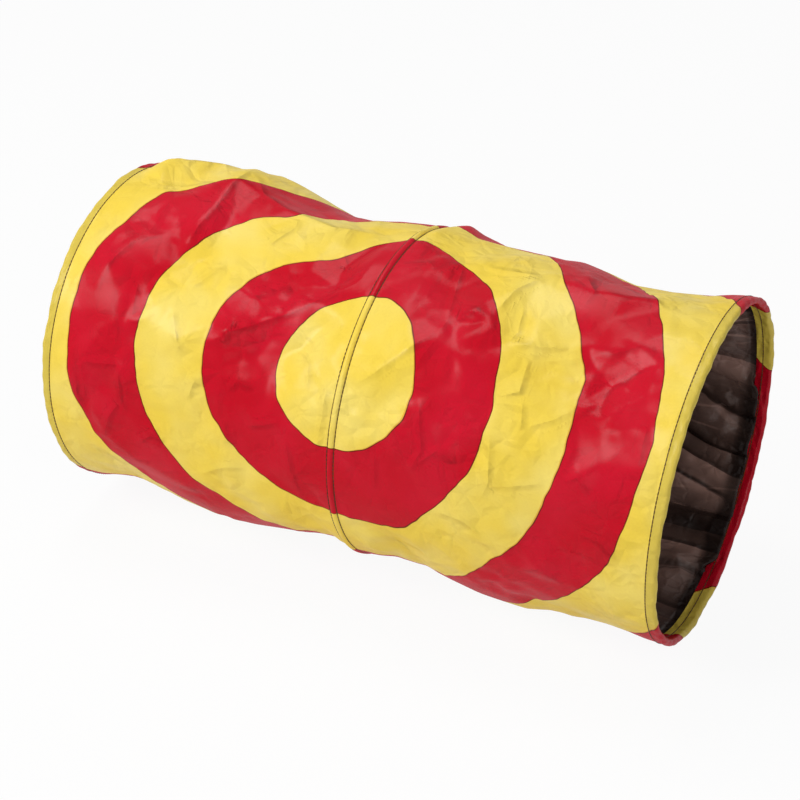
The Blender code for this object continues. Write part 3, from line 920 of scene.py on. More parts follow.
class Graph:
    """A tree of nodes, with calls that add to it."""

    def __init__(self, tree):
        self.tree = tree

    def node(self, kind, settings=None, values=None, output=0):
        """Adds a node with its settings and its sockets' values or links, and gives one of its outputs."""
        made = self.tree.nodes.new(kind)
        for name, value in (settings or {}).items():
            setattr(made, name, value)
        for key, value in (values or {}).items():
            if isinstance(value, Wire):
                self.tree.links.new(value.socket, made.inputs[key])
            else:
                made.inputs[key].default_value = value
        return Wire(self, made.outputs[output])

    def seen(self):
        """1 for what the camera sees, directly or in a reflection or through something clear, otherwise 0."""
        rays = self.tree.nodes.new("ShaderNodeLightPath").outputs
        kinds = ("Is Camera Ray", "Is Glossy Ray", "Is Transmission Ray")
        camera, glossy, clear = (Wire(self, rays[kind]) for kind in kinds)
        return camera.math("MAXIMUM", glossy).math("MAXIMUM", clear)


class Paint(Graph):
    """A material on its Principled shader. The shader's constants are given at the start."""

    def __init__(self, name, **constants):
        self.material = bpy.data.materials.new(name)
        self.material.use_nodes = True
        super().__init__(self.material.node_tree)
        self.shader = self.tree.nodes["Principled BSDF"]
        for socket, value in constants.items():
            self.shader.inputs[socket.replace("_", " ")].default_value = value

    def set(self, socket, value):
        """Links a value to one of the shader's sockets."""
        self.tree.links.new(value.socket, self.shader.inputs[socket])

    def blend(self, factor, first, second):
        """A colour between two colours, which are the node's sockets 6 and 7. The blend is its output 2."""
        first, second = (color if isinstance(color, Wire) else (*color, 1.0) for color in (first, second))
        return self.node("ShaderNodeMix", {"data_type": "RGBA"}, {0: factor, 6: first, 7: second}, 2)

    def noise(self, places, scale, detail=2.0, kind="FBM"):
        """Random patches between 0 and 1, this many to a metre."""
        settings = {"noise_type": kind, "normalize": True}
        return self.node("ShaderNodeTexNoise", settings, {"Vector": places, "Scale": scale, "Detail": detail})

    def edges(self, places, scale):
        """The distance to the edges of random cells, this many to a metre, as a share of a cell."""
        settings = {"feature": "DISTANCE_TO_EDGE"}
        return self.node("ShaderNodeTexVoronoi", settings, {"Vector": places, "Scale": scale})

    def attribute(self, name):
        """A value that the mesh holds at each point."""
        return self.node("ShaderNodeAttribute", {"attribute_name": name}, None, "Fac")

    def cloth_places(self):
        """The piece's own cloth map: its vector, and its two parts."""
        places = self.node("ShaderNodeUVMap", {"uv_map": CLOTH_MAP})
        along, across = (self.node("ShaderNodeSeparateXYZ", None, {0: places}, part) for part in "XY")
        return places, along, across

    def bump(self, height, distance, under=None, strength=1.0):
        """The normal, or another bump under this one, turned by the slope of height times distance."""
        values = {"Strength": strength, "Distance": distance, "Height": height}
        if under is not None:
            values["Normal"] = under
        return self.node("ShaderNodeBump", None, values)

    def creases(self, places, scale, share):
        """Straight creases in patches: the distance to random cells' edges, level beyond a share of a cell.

        In some patches the creases sink and in others they stand up.
        """
        patches = self.noise(places, scale * 0.30, 1.0)
        turned = patches.between(0.46, 0.62) - patches.between(0.46, 0.36)
        return self.edges(places, scale).math("MINIMUM", share) * turned

    def weave(self, along, across, pitch):
        """A plain weave between 0 and 1: half the product of two sines, plus a half."""
        warp = (along * (2 * math.pi / pitch)).math("SINE")
        weft = (across * (2 * math.pi / pitch)).math("SINE")
        return warp * weft * 0.5 + 0.5


def printed_cloth(settings):
    """Polyester cloth printed with rings: yellow where the ring's number is even and red where it is odd.

    The number is the distance from the rings' centre, with a little wander, over the ring's width, rounded
    down. A thin dark outline runs along each edge, with a faint orange edge where the two prints don't
    quite meet. Along each row of stitches runs a thin dark line, partly the needle's holes and partly
    painted shade of the stitched groove.
    """
    paint = Paint("printed_cloth", Specular_IOR_Level=0.0, Coat_Roughness=0.25)
    places, along, across = paint.cloth_places()
    wander = paint.noise(places, 30.0, 2.0)
    width = settings.ring_width

    def ring_number(shift_along, shift_across):
        """A place's distance from the rings' centre, with the print shifted, over the ring's width."""
        a, b = along + shift_along, across + shift_across
        return ((a * a + b * b) ** 0.5 + (wander - 0.5) * INK_WANDER) / width

    def is_red(number):
        """1 where the number rounded down is odd, and beyond the last ring."""
        odd = (number % 2.0) > 1.0
        return odd.math("MAXIMUM", number > LAST_RING)

    number = ring_number(0.0, 0.0)
    red = is_red(number)
    nearest = number.math("ROUND")
    gap = (number - nearest).math("ABSOLUTE") * width
    outline = gap.between(*OUTLINE_EDGES) * (number < LAST_RING + 0.5) * (number > 0.5)
    stray = is_red(ring_number(*STRAY_SHIFT)) * (1 - red)

    worn = paint.noise(places, 17.0, 2.0)
    fine = paint.noise(places, 620.0, 2.0)
    yellow = paint.blend(worn.between(0.35, 0.72), settings.yellow_deep, settings.yellow)
    (outer, _), (inner, _) = needle_places()
    reach = along.math("ABSOLUTE")
    hem = reach.between(outer - 0.0002, outer + 0.0004)
    yellow = paint.blend(hem * 0.85, yellow, settings.yellow_hem)
    crimson = paint.blend(worn.between(0.35, 0.72), settings.red_deep, settings.red)
    crimson = paint.blend(hem * 0.5, crimson, settings.red_hem)
    color = paint.blend(red, yellow, crimson)
    color = paint.blend(stray * 0.55, color, STRAY_ORANGE)
    color = paint.blend(outline, color, settings.outline)
    color = paint.blend(fine.between(0.25, 0.75) * (0.04 + 0.10 * red), color, FLECK_RED)
    # A thin dark line along each row of stitches: partly the needle's holes, partly painted shade of the
    # stitched groove
    needle = (reach - RIDGE_STITCH_X).math("ABSOLUTE").between(*RIDGE_NEEDLE_EDGES)
    for place in (outer, inner):
        needle = needle.math("MAXIMUM", (reach - place).math("ABSOLUTE").between(*HEM_NEEDLE_EDGES))
    color = paint.blend(needle * 0.8, color, settings.needle_line_and_shade)
    paint.set("Base Color", color)
    paint.set("Roughness", 0.50 + 0.10 * worn)
    paint.set("Coat Weight", 0.14 + 0.26 * worn)

    aside = paint.attribute(CREASE_ASIDE).math("ABSOLUTE")
    strength = paint.attribute(CREASE_STRENGTH)
    weave = paint.weave(along, across, PRINTED_WEAVE)
    firm = 0.90 + 0.10 * red
    normal = paint.bump(paint.creases(places, 44.0, 0.24), 0.0052, None, firm)
    normal = paint.bump(paint.creases(places, 95.0, 0.26), 0.0022, normal, firm)
    normal = paint.bump((aside * -220.0 + 1.0).math("MAXIMUM", 0.0) * strength, 0.0018, normal, firm)
    paint.set("Normal", paint.bump(weave, 0.00004, normal))
    return paint.material


def lining_cloth(settings):
    """Dark brown, slightly shiny cloth with a close weave.

    Each pleat has a tone of its own. A painted highlight lies along its upper edge and along a few thin
    creases, and painted shade makes it nearly black where it turns under, where it goes under the hem's lap
    and at a few listed folds, with painted light at a few other places.
    """
    paint = Paint("dark_lining_cloth", Coat_Roughness=0.20, Coat_IOR=2.0, Specular_IOR_Level=0.12)
    places, along, across = paint.cloth_places()
    mottle = paint.noise(places, 30.0, 4.0)
    course = paint.attribute(PLEAT_COURSE) + (paint.noise(places, 60.0, 2.0) - 0.5) * 0.12
    share = course % 1.0
    number = course - share
    lot, other_lot = (
        paint.node("ShaderNodeTexWhiteNoise", {"noise_dimensions": "1D"}, {"W": drawn})
        for drawn in (number, number + 31.5)
    )
    # Painted shade: nearly black where a pleat falls back steeply, in patches. Painted highlight: paler down
    # from each pleat's upper edge.
    pressed = paint.noise(places, 13.0, 1.0).between(0.36, 0.52) * (0.35 + 0.65 * other_lot)
    painted_fold_shade = share.between(0.74, 0.90) * share.between(1.0, 0.95) * pressed
    painted_edge_highlight = (1 - share) ** 2.0 * share.between(0.0, 0.03) * (0.35 + 0.65 * pressed)
    values = {0: places, 1: (0.30, 1.0, 1.0)}
    stretched = paint.node("ShaderNodeVectorMath", {"operation": "MULTIPLY"}, values)
    # Painted highlights: thin pale crease lines, in patches
    creased = paint.edges(stretched, 34.0).between(0.040, 0.012)
    creased = creased * paint.noise(places, 22.0, 1.0).between(0.47, 0.56)
    # Painted shade towards the hem's lap and at the listed deep folds, painted light where that value is
    # negative; the coat is dimmed with it
    painted_light_level = (1 - painted_fold_shade) * (1 - 0.90 * paint.attribute(LINING_SHADE))
    tone = (0.10 + 0.50 * mottle + 0.80 * painted_edge_highlight + 0.45 * creased) * (0.30 + 1.05 * lot) * painted_light_level
    paint.set("Base Color", paint.blend(tone, settings.lining_deep, settings.lining))
    paint.set("Roughness", 0.30 + 0.20 * mottle)
    paint.set("Coat Weight", (0.015 + 0.14 * mottle * mottle) * painted_light_level)
    weave = paint.weave(along, across, LINING_WEAVE)
    normal = paint.bump(paint.creases(stretched, 60.0, 0.24), 0.0060)
    normal = paint.bump(paint.creases(places, 110.0, 0.24), 0.0022, normal)
    paint.set("Normal", paint.bump(weave, 0.00002, normal))
    return paint.material


def creased_film(settings):
    """Milky plastic film, creased all over."""
    paint = Paint("creased_film")
    places = paint.cloth_places()[0]
    mottle = paint.noise(places, 55.0, 3.0)
    paint.set("Base Color", paint.blend(mottle, (0.52, 0.55, 0.58), (0.70, 0.72, 0.74)))
    paint.set("Roughness", 0.16 + 0.18 * mottle)
    creased = paint.noise(places, 80.0, 4.0, "RIDGED_MULTIFRACTAL")
    paint.set("Normal", paint.bump(creased, 0.0008))
    return paint.material


def sewing_thread(settings):
    """Dark brown thread, its twist showing as slanting ribs."""
    paint = Paint("sewing_thread", Specular_IOR_Level=0.2)
    places, along, across = paint.cloth_places()
    ribs = ((along * 2.2 + across) * (2 * math.pi / TWIST_PITCH)).math("SINE") * 0.5 + 0.5
    fluff = paint.noise(places, 900.0, 2.0)
    paint.set("Base Color", paint.blend(fluff * 0.6 + ribs * 0.3, settings.thread, THREAD_PALE))
    paint.set("Roughness", 0.50 + 0.15 * fluff)
    paint.set("Normal", paint.bump(ribs, 0.00008))
    return paint.material


def hoop_steel():
    """Drawn spring wire: fine scratches along it and a few darker patches."""
    paint = Paint("spring_steel", Metallic=1.0)
    places = paint.node("ShaderNodeTexCoord", output="Object")
    patches = paint.noise(places, 60.0, 3.0)
    drawn = paint.noise(places, 900.0, 2.0)
    paint.set("Base Color", paint.blend(patches.between(0.3, 0.7), (0.34, 0.34, 0.36), (0.50, 0.50, 0.52)))
    paint.set("Roughness", 0.24 + 0.16 * patches + 0.08 * drawn)
    paint.set("Normal", paint.bump(drawn, 0.00002))
    return paint.material


def crimped_tube():
    """Zinc-grey tube, dull, with small dents from the crimping."""
    paint = Paint("crimped_tube", Metallic=1.0)
    places = paint.node("ShaderNodeTexCoord", output="Object")
    dents = paint.noise(places, 320.0, 1.0)
    grain = paint.noise(places, 1600.0, 2.0)
    paint.set("Base Color", paint.blend(dents.between(0.3, 0.7), (0.48, 0.48, 0.50), (0.64, 0.64, 0.66)))
    paint.set("Roughness", 0.36 + 0.14 * grain)
    paint.set("Normal", paint.bump(dents, 0.00012))
    return paint.material


def material_of(name, maker, settings):
    """The named material, made the first time that it is asked for. The frame has none of that name."""
    return bpy.data.materials.get(name) or maker(settings)


# Settings


def color_setting(name, description, default):
    """A colour, as three shares of full light."""
    return bpy.props.FloatVectorProperty(
        name=name, description=description, subtype="COLOR", size=3, min=0, max=1, default=default
    )


def length_setting(name, description, default):
    """A length in metres."""
    kind = {"subtype": "DISTANCE", "unit": "LENGTH", "min": 0, "precision": 4}
    return bpy.props.FloatProperty(name=name, description=description, default=default, **kind)


def power_setting(name, description, default):
    """A lamp's power in watts."""
    return bpy.props.FloatProperty(name=name, description=description, unit="POWER", min=0, default=default)


class CatTunnelCloth(bpy.types.PropertyGroup):
    """Sizes and colours of the printed cloth and its lining."""

    ring_width: length_setting("Ring width", "Width of each printed ring", 0.055)
    ring_centre: bpy.props.FloatProperty(
        name="Rings' centre",
        description="Height of the rings' centre on the front side, as an angle above the horizontal",
        subtype="ANGLE",
        unit="ROTATION",
        default=math.radians(34.8),
    )
    crumple_depth: bpy.props.FloatProperty(
        name="Crumpling",
        description="How strongly the cover's cloth is crumpled",
        subtype="FACTOR",
        min=0,
        max=2,
        default=1.0,
    )
    lining_depth: length_setting("Lining crumple", "Depth of the lining's crumples", 0.0046)
    yellow: color_setting("Yellow", "Light tone of the yellow print", (0.925, 0.735, 0.165))
    yellow_deep: color_setting("Deep yellow", "Deeper tone of the yellow print", (0.912, 0.668, 0.075))
    yellow_hem: color_setting("Hem yellow", "Yellow of the folded hems", (0.690, 0.530, 0.080))
    red: color_setting("Red", "Light tone of the red print", (0.635, 0.002, 0.022))
    red_deep: color_setting("Deep red", "Deeper tone of the red print", (0.575, 0.001, 0.014))
    red_hem: color_setting("Hem red", "Red of the folded hems", (0.480, 0.006, 0.020))
    outline: color_setting("Outline", "Thin line along the rings' edges", (0.150, 0.005, 0.002))
    # The colour of that line, partly the needle's holes and partly painted shade of the stitched groove
    needle_line_and_shade: color_setting("Needle line", "Line that the needle has left", (0.150, 0.070, 0.004))
    # The pale end of the lining's tone, which its painted highlights reach; the near-black end below it takes
    # its painted shade
    lining: color_setting("Lining", "Rubbed tone of the lining", (0.330, 0.196, 0.160))
    lining_deep: color_setting("Deep lining", "Darkest tone of the lining", (0.003, 0.0010, 0.0006))


class CatTunnelSewing(bpy.types.PropertyGroup):
    """Sizes and colour of the stitching."""

    pitch: length_setting("Stitch length", "From one stitch to the next", 0.0032)
    thickness: length_setting("Thread thickness", "Diameter of the sewing thread", 0.00065)
    thread: color_setting("Thread", "Colour of the sewing thread", (0.055, 0.022, 0.014))


class CatTunnelStage(bpy.types.PropertyGroup):
    """The floor and the light."""

    overhead_power: power_setting("Overhead light", "Power of the lamp above", 15.3)
    left_power: power_setting("Left light", "Power of the lamp at the left", 21.8)
    low_power: power_setting("Low light", "Power of the low lamp in front", 5.5)
    front_power: power_setting("Front light", "Power of the lamp beside the camera", 7.5)
    fill: bpy.props.FloatProperty(
        name="Fill", description="Strength of the even light from all round", min=0, max=1, default=0.275
    )
    floor: color_setting("Floor", "Colour of the floor", (0.86, 0.86, 0.86))


# Operators


class CATTUNNEL_OT_cover(bpy.types.Operator):
    """Make the printed cover of both bays"""

    bl_idname = "cattunnel.cover"
    bl_label = "Printed cover"

    def execute(self, context):
        cloth = context.scene.cat_tunnel_cloth
        material = material_of("printed_cloth", printed_cloth, cloth)
        for side, bay in BAYS:
            along = np.linspace(BAND_EDGE_X, STITCH_X, COVER_ROWS)[:, None]
            angle = round_angles(COVER_SEAM)[0][None, :]
            radius = cover_radius(bay, along, angle, cloth.crumple_depth)
            faces = ply(bay, along, radius, 0.0, COVER_THICKNESS, COVER_SEAM, cloth.ring_centre)
            piece = cloth_piece(f"printed_cover_{side}", *faces, material)
            aside, strength = nearest_crease(bay, along, angle)
            store_at_points(piece, {CREASE_ASIDE: aside, CREASE_STRENGTH: strength})
            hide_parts(f"cover_{side}")
            follow_fold(piece)
        return {"FINISHED"}


class CATTUNNEL_OT_film(bpy.types.Operator):
    """Make the crinkle film between the cover and the lining"""

    bl_idname = "cattunnel.film"
    bl_label = "Crinkle film"

    def execute(self, context):
        cloth = context.scene.cat_tunnel_cloth
        material = material_of("creased_film", creased_film, cloth)
        for side, bay in BAYS:
            along = np.linspace(BAND_EDGE_X, STITCH_X - PLY_GAP, FILM_ROWS)[:, None]
            angle = round_angles(COVER_SEAM)[0][None, :]
            radius = cover_radius(bay, along, angle, cloth.crumple_depth) - FILM_DEPTH
            faces = ply(bay, along, radius, FILM_DEPTH, FILM_THICKNESS, COVER_SEAM, cloth.ring_centre)
            piece = cloth_piece(f"crinkled_ply_{side}", *faces, material, 0.5)
            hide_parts(f"crinkle_film_{side}")
            follow_fold(piece)
        return {"FINISHED"}


class CATTUNNEL_OT_lining(bpy.types.Operator):
    """Make the dark crumpled lining of both bays"""

    bl_idname = "cattunnel.lining"
    bl_label = "Lining"

    @staticmethod
    def pleat_course(bay, along, angle):
        """Where a place is among the pleats: the whole part is the pleat's number, the rest how far down it.

        It is the distance round the tunnel over the pleats' width, after two waves, a slant down towards
        the end on the far lower side, a slow drift and some facets. The 40 added keeps it positive.
        """
        x = bay * along
        across = across_from_opposite(angle, LINING_SEAM)
        uneven = sum(
            height * np.sin(across * 2 * math.pi / length + start) for height, length, start in PLEAT_WAVES
        )
        slant = -0.36 * (along - 0.12) * smooth_step((across - 0.16) / 0.22)
        bend = 0.009 * drift(across, x, 0.30, 151 + bay) + 0.0060 * facets(across, x, 0.055, 161 + bay, 0.5)
        return (across + uneven + slant + bend) / PLEAT_WIDTH + 40

    def hanging_radius(self, bay, along, angle, cloth):
        """The cover's radius less the lining's own folds, which stand into the bore, and its lapped seam.

        The folds are the frame's main ones, pleats that run along the tunnel, broad facets and small
        crumples in patches, which gather at one place by the lap. Down from its upper edge a pleat rises as
        1 - (1 - share)^2, where share is the part of its rise, and then it falls back steeply and straight.
        Towards the loose fold at the far lower side the lining leans in, and elsewhere its folds flatten
        towards the lap that holds it.
        """
        x = bay * along
        across = across_from_opposite(angle, LINING_SEAM)
        seed = 150 if bay < 0 else 190
        course = self.pleat_course(bay, along, angle)
        share = course % 1
        rise = np.where(share < PLEAT_RISE, 1 - (1 - share / PLEAT_RISE) ** 2, (1 - share) / PLEAT_FALL)
        depths = np.random.default_rng(seed).uniform(0.0, 1.0, PLEAT_COUNT) ** 1.5
        pleats = rise * depths[np.floor(course).astype(int)]
        panels = facets(across / 0.026, x / 0.040, 1.0, seed, 0.10)
        patches = smooth_step(0.5 + 0.9 * drift(across, x, 0.07, seed + 3))
        crumples = patches * crumple(across, x, seed + 4, LINING_CRUMPLES)
        gathered = np.exp(-(((LAP_X - along) / 0.040) ** 2) - (turn_between(angle, GATHER_ANGLE) / 0.22) ** 2)
        crumples = crumples + gathered * crumple(across / 0.6, x, seed + 9, GATHERED_CRUMPLES)
        inward = np.clip(0.35 + 0.90 * pleats + 0.45 * panels + crumples, 0, None)
        past_seam = across_from_seam(angle, LINING_SEAM)
        lap = LINING_LAP * smooth_step(past_seam / 0.0008) * (1 - smooth_step((past_seam - 0.006) / 0.010))
        loose = smooth_step(np.abs(past_seam) / 0.006)
        to_seam = np.minimum(along - BAND_EDGE_X, LAP_X - along)
        main = bells(LINING_FOLDS, bay, along, angle) * smooth_step(to_seam / HOLD_REACH)
        held = smooth_step((along - BAND_EDGE_X - 0.0030) / 0.010)
        away = np.abs(turn_between(angle, OVERHANG_ANGLE))
        overhangs = smooth_step((OVERHANG_TURN - away) / 0.20 + 0.5)
        lean = overhangs * smooth_step((along - 0.165) / 0.055)
        caught = smooth_step((along - LAP_X + 0.022) / 0.016) * (1 - overhangs)
        own = (cloth.lining_depth * inward * loose * (1 - 0.8 * caught) + lap) * held + OVERHANG_LEAN * lean
        return cover_radius(bay, along, angle, cloth.crumple_depth) - LINING_DEPTH - main - own

    def outer_face(self, bay, angle, cloth):
        """The lining's outer face: it hangs from the middle hoop to the hem's lap, then passes under the lap.

        Round the far lower side it first bulges over the lap in a loose fold, whose course runs from the
        hanging part in over the lap, out to the fold's tip, back to the lap's edge and then under the lap.
        """
        first, last = LAP_X - 0.0070, STITCH_X - PLY_GAP
        along = np.linspace(BAND_EDGE_X, first, LINING_ROWS - OVERHANG_ROWS)[:, None]
        radius = self.hanging_radius(bay, along, angle, cloth)
        under = np.linspace(first, last, UNDER_ROWS)[:, None]
        under = cover_radius(bay, under, angle, cloth.crumple_depth) - LINING_DEPTH
        away = np.abs(turn_between(angle, OVERHANG_ANGLE))[0]
        share = smooth_step((OVERHANG_TURN - away) / math.radians(8))
        share = share * (0.90 + 0.10 * drift(angle[0] * TUNNEL_RADIUS, 0 * away, 0.05, 260 + bay))
        risen = smooth_step(share / 0.22)
        tip = LAP_X - 0.0020 + OVERHANG_TIP * share
        back = np.minimum(LAP_X - 0.0016, tip)
        top = np.minimum(radius[-1], OVERHANG_RADIUS)
        low = top + 0.0008
        # The fold's course has eight points, at these shares of its rows. Each has a distance from the
        # middle hoop, a level as a radius, and 1 if the level holds there, or 0 if it lies under the cover.
        place = np.array([0, 0.22, 0.46, 0.52, 0.58, 0.80, 0.88, 1.0])
        course = (first, first + 0.0035, tip - 0.0009, tip, tip - 0.0009, back, back + 0.0006, last)
        course = np.stack(np.broadcast_arrays(*course))
        course = course * risen + (first + (last - first) * place)[:, None] * (1 - risen)
        level = np.stack([top, top, top, (top + low) / 2, low, low, low, low])
        lifted = np.array([0, 1, 1, 1, 1, 1, 0, 0])[:, None] * risen
        rows = np.linspace(0, 1, OVERHANG_ROWS + 1)[1:]
        step = np.clip(np.searchsorted(place, rows) - 1, 0, len(place) - 2)
        part = ((rows - place[step]) / (place[step + 1] - place[step]))[:, None]
        course, level, lifted = (
            run[step] * (1 - part) + run[step + 1] * part for run in (course, level, lifted)
        )
        row = np.clip((course - first) / (last - first) * (UNDER_ROWS - 1), 0, UNDER_ROWS - 1 - 0.001)
        column = np.arange(angle.size)[None, :]
        whole = row.astype(int)
        beneath = under[whole, column] * (1 - row + whole) + under[whole + 1, column] * (row - whole)
        fading = smooth_step(rows / place[1])[:, None] * (1 - risen) + (rows > 0.5)[:, None] * risen
        beneath = beneath + (radius[-1] - under[0]) * (1 - fading)
        folded = beneath * (1 - lifted) + level * lifted
        along = np.broadcast_to(along, radius.shape)
        return np.concatenate([along, course]), np.concatenate([radius, folded])

    def execute(self, context):
        cloth = context.scene.cat_tunnel_cloth
        material = material_of("dark_lining_cloth", lining_cloth, cloth)
        angle = round_angles(LINING_SEAM)[0][None, :]
        for side, bay in BAYS:
            along, radius = self.outer_face(bay, angle, cloth)
            face = (bay, along, radius, LINING_DEPTH, LINING_THICKNESS)
            outer, inner, places = ply(*face, LINING_SEAM, cloth.ring_centre)
            piece = cloth_piece(f"crumpled_lining_{side}", inner, outer, places, material)
            course = self.pleat_course(bay, np.minimum(along, LAP_X), angle)
            # Painted shade towards the hem's lap and at the listed deep folds, painted light where a listed
            # depth is negative
            shade = smooth_step((along - LAP_X + 0.012) / 0.011) + bells(LINING_SHADES, bay, along, angle)
            store_at_points(piece, {PLEAT_COURSE: course, LINING_SHADE: np.minimum(shade, 1)})
            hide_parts(f"lining_{side}")
            follow_fold(piece)
        return {"FINISHED"}


class CATTUNNEL_OT_hems(bpy.types.Operator):
    """Make the cover's ends, folded round the end hoops"""

    bl_idname = "cattunnel.hems"
    bl_label = "Hems"

    @staticmethod
    def stand(length, angle, seed):
        """How far the cloth stands out from the hem's line, for each length of cloth and each angle.

        It is slanting ropes, a sine of the place with a slow drift, plus flat puffs. Both fade at the hem's
        two edges, beside the needle's two rows, and at the long seam, which sinks into a groove.
        """
        (outer, _), (inner, _) = needle_places()
        across = across_from_opposite(angle)[None, :]
        past = (length - STITCH_X)[:, None]
        loose = smooth_step(past / 0.001) * smooth_step((length[-1] - STITCH_X - past) / 0.002)
        for place in (outer, inner):
            loose = loose * smooth_step(np.abs(past + STITCH_X - place) / NEEDLE_HOLD)
        wander = 2.2 * drift(across, past, 0.09, seed)
        ropes = np.sin((across + past * 1.4) * 2 * math.pi / ROPE_PITCH + wander)
        puffs = facets(across / 0.020, past / 0.007, 1.0, seed + 2, 0.2)
        stand = loose * np.maximum(ROPE_DEPTH * ropes + PUFF_DEPTH * puffs, -0.0007)
        seam = np.abs(across_from_seam(angle))[None, :]
        return stand * smooth_step(seam / 0.008) - 0.0003 * np.exp(-((seam / 0.0010) ** 2)) * loose

    def execute(self, context):
        cloth = context.scene.cat_tunnel_cloth
        material = material_of("printed_cloth", printed_cloth, cloth)
        line, length = hem_course()
        normals = line_normals(line)
        angle, closed = round_angles(COVER_SEAM)
        for side, bay in BAYS:
            stand = self.stand(length, angle, 20 if bay < 0 else 30)
            faces = []
            for offset, lowest in ((stand, 0.0), (stand * 0.6 - COVER_THICKNESS, COVER_THICKNESS)):
                x = line[:, :1] + normals[:, :1] * offset
                radius = line[:, 1:] + normals[:, 1:] * offset
                faces.append(round_axis(bay * x, radius, angle[None, :], lowest))
            places = print_places(bay * length[:, None], closed, cloth.ring_centre)
            piece = cloth_piece(f"printed_hem_{side}", *faces, places, material)
            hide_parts(f"{side}_hem")
            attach(piece, f"{side}_end")
        return {"FINISHED"}


class CATTUNNEL_OT_ridge(bpy.types.Operator):
    """Make the strips of cover and lining that hold the middle hoop"""

    bl_idname = "cattunnel.ridge"
    bl_label = "Middle ridge"

    def execute(self, context):
        cloth = context.scene.cat_tunnel_cloth
        printed = material_of("printed_cloth", printed_cloth, cloth)
        dark = material_of("dark_lining_cloth", lining_cloth, cloth)
        start = math.asin((FOLD_RADIUS - (TUNNEL_RADIUS - COVER_AT_BAND)) / FOLD_RADIUS)
        turn = np.linspace(math.pi - start, start, BAND_ROWS)[:, None]
        angle, closed = round_angles(COVER_SEAM)
        across = across_from_opposite(angle)[None, :]
        places = print_places(FOLD_RADIUS * np.cos(turn), closed, cloth.ring_centre)
        for name, node, material, thickness, outwards, slot in (
            ("printed_ridge", "middle_band", printed, COVER_THICKNESS, 1, "printed_cloth_red"),
            ("lining_ridge", "middle_lining_band", dark, LINING_THICKNESS, -1, "dark_lining"),
        ):
            puffs = facets(across / 0.014, turn * 0.8, 1.0, 41 + outwards, 0.3)
            stand = 0.00018 * puffs * np.sin(turn) ** 2
            faces = []
            for depth in (0.0, thickness):
                reach = FOLD_RADIUS - depth + stand
                radius = HOOP_RADIUS + outwards * reach * np.sin(turn)
                faces.append(round_axis(reach * np.cos(turn), radius, angle[None, :], depth))
            piece = cloth_piece(name, *faces, places, material)
            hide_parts(node)
            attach(piece, "middle")
        return {"FINISHED"}


class CATTUNNEL_OT_stitching(bpy.types.Operator):
    """Make every line of stitching"""

    bl_idname = "cattunnel.stitching"
    bl_label = "Stitching"

    @staticmethod
    def line_of_stitches(name, x, radius, outwards, seed, sewing, material):
        """A ring of stitches, each a short capsule along the ring, its ends dipping into the cloth.

        Along a stitch the thickness follows the root of one less the fourth power of the place, and the
        centre line sinks by its square. Each stitch is turned and shifted a little at random.
        """
        count = round(2 * math.pi * radius / sewing.pitch)
        random = np.random.default_rng(seed)
        sides, rings = STITCH_SIDES, STITCH_RINGS
        place = np.linspace(-0.97, 0.97, rings)[None, :, None]
        turn = np.linspace(0, 2 * math.pi, sides, endpoint=False)[None, None, :]
        thick = sewing.thickness / 2 * (1 - place**4) ** 0.5
        long = sewing.pitch * 0.46 * (1 + random.uniform(-0.06, 0.06, (count, 1, 1)))
        centre = np.arange(count)[:, None, None] * (2 * math.pi / count)
        slant = random.uniform(-0.05, 0.05, (count, 1, 1))
        wander = drift(centre * TUNNEL_RADIUS, 0 * centre, 0.05, seed + 1) * 0.00022
        along_ring = place * long
        height = sewing.thickness * (0.18 - 0.42 * place**2) + thick * np.sin(turn)
        side_x = thick * np.cos(turn) + slant * along_ring + wander
        angle = centre + along_ring / radius
        points = round_axis(x + side_x, radius + outwards * height, angle, 0.0)
        row, column = np.meshgrid(np.arange(rings - 1), np.arange(sides), indexing="ij")
        after = (column + 1) % sides
        near, far = row * sides, (row + 1) * sides
        quads = np.stack([near + column, near + after, far + after, far + column], axis=-1).reshape(-1, 4)
        # Two four-cornered faces close the six sides of each end. In a row on the outside, where heights go
        # outwards, the corners run the other way round.
        ends = [(0, 5, 4, 3), (0, 3, 2, 1), (30, 31, 32, 33), (30, 33, 34, 35)]
        one = np.concatenate([quads, ends])
        if outwards > 0:
            one = one[:, ::-1]
        faces = (np.arange(count)[:, None, None] * (sides * rings) + one[None]).reshape(-1, 4)
        around = np.broadcast_to(turn * sewing.thickness / 2, points.shape[:3]).reshape(-1)
        length = np.broadcast_to(along_ring + centre * radius, points.shape[:3]).reshape(-1)
        values = np.stack([length, around], axis=-1)[faces.reshape(-1)]
        return new_piece(name, points.reshape(-1, 3), faces, {CLOTH_MAP: values}, material)

    def execute(self, context):
        sewing = context.scene.cat_tunnel_sewing
        material = material_of("sewing_thread", sewing_thread, sewing)
        (_, outside), (_, bore) = needle_places()
        middle_bore = 2 * HOOP_RADIUS - COVER_AT_BAND
        for side, bay in BAYS:
            rows = (
                (f"hem_stitching_{side}", NEEDLE_X, outside, 1, f"{side}_end"),
                (f"hem_bore_stitching_{side}", NEEDLE_X, bore, -1, f"{side}_end"),
                (f"ridge_stitching_{side}", RIDGE_STITCH_X, COVER_AT_BAND, 1, "middle"),
                (f"ridge_bore_stitching_{side}", RIDGE_STITCH_X, middle_bore, -1, "middle"),
            )
            for number, (name, x, radius, outwards, body) in enumerate(rows):
                seed = 300 + 10 * number + bay
                piece = self.line_of_stitches(name, bay * x, radius, outwards, seed, sewing, material)
                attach(piece, body)
        return {"FINISHED"}


class CATTUNNEL_OT_hoops(bpy.types.Operator):
    """Finish the wire hoops and their crimped sleeves"""

    bl_idname = "cattunnel.hoops"
    bl_label = "Hoops"

    def execute(self, context):
        steel, tube = hoop_steel(), crimped_tube()
        for place in ("left", "middle", "right"):
            for name, material in ((f"{place}_hoop", steel), (f"{place}_hoop_sleeve", tube)):
                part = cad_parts[name]
                part.data.materials.clear()
                part.data.materials.append(material)
        return {"FINISHED"}


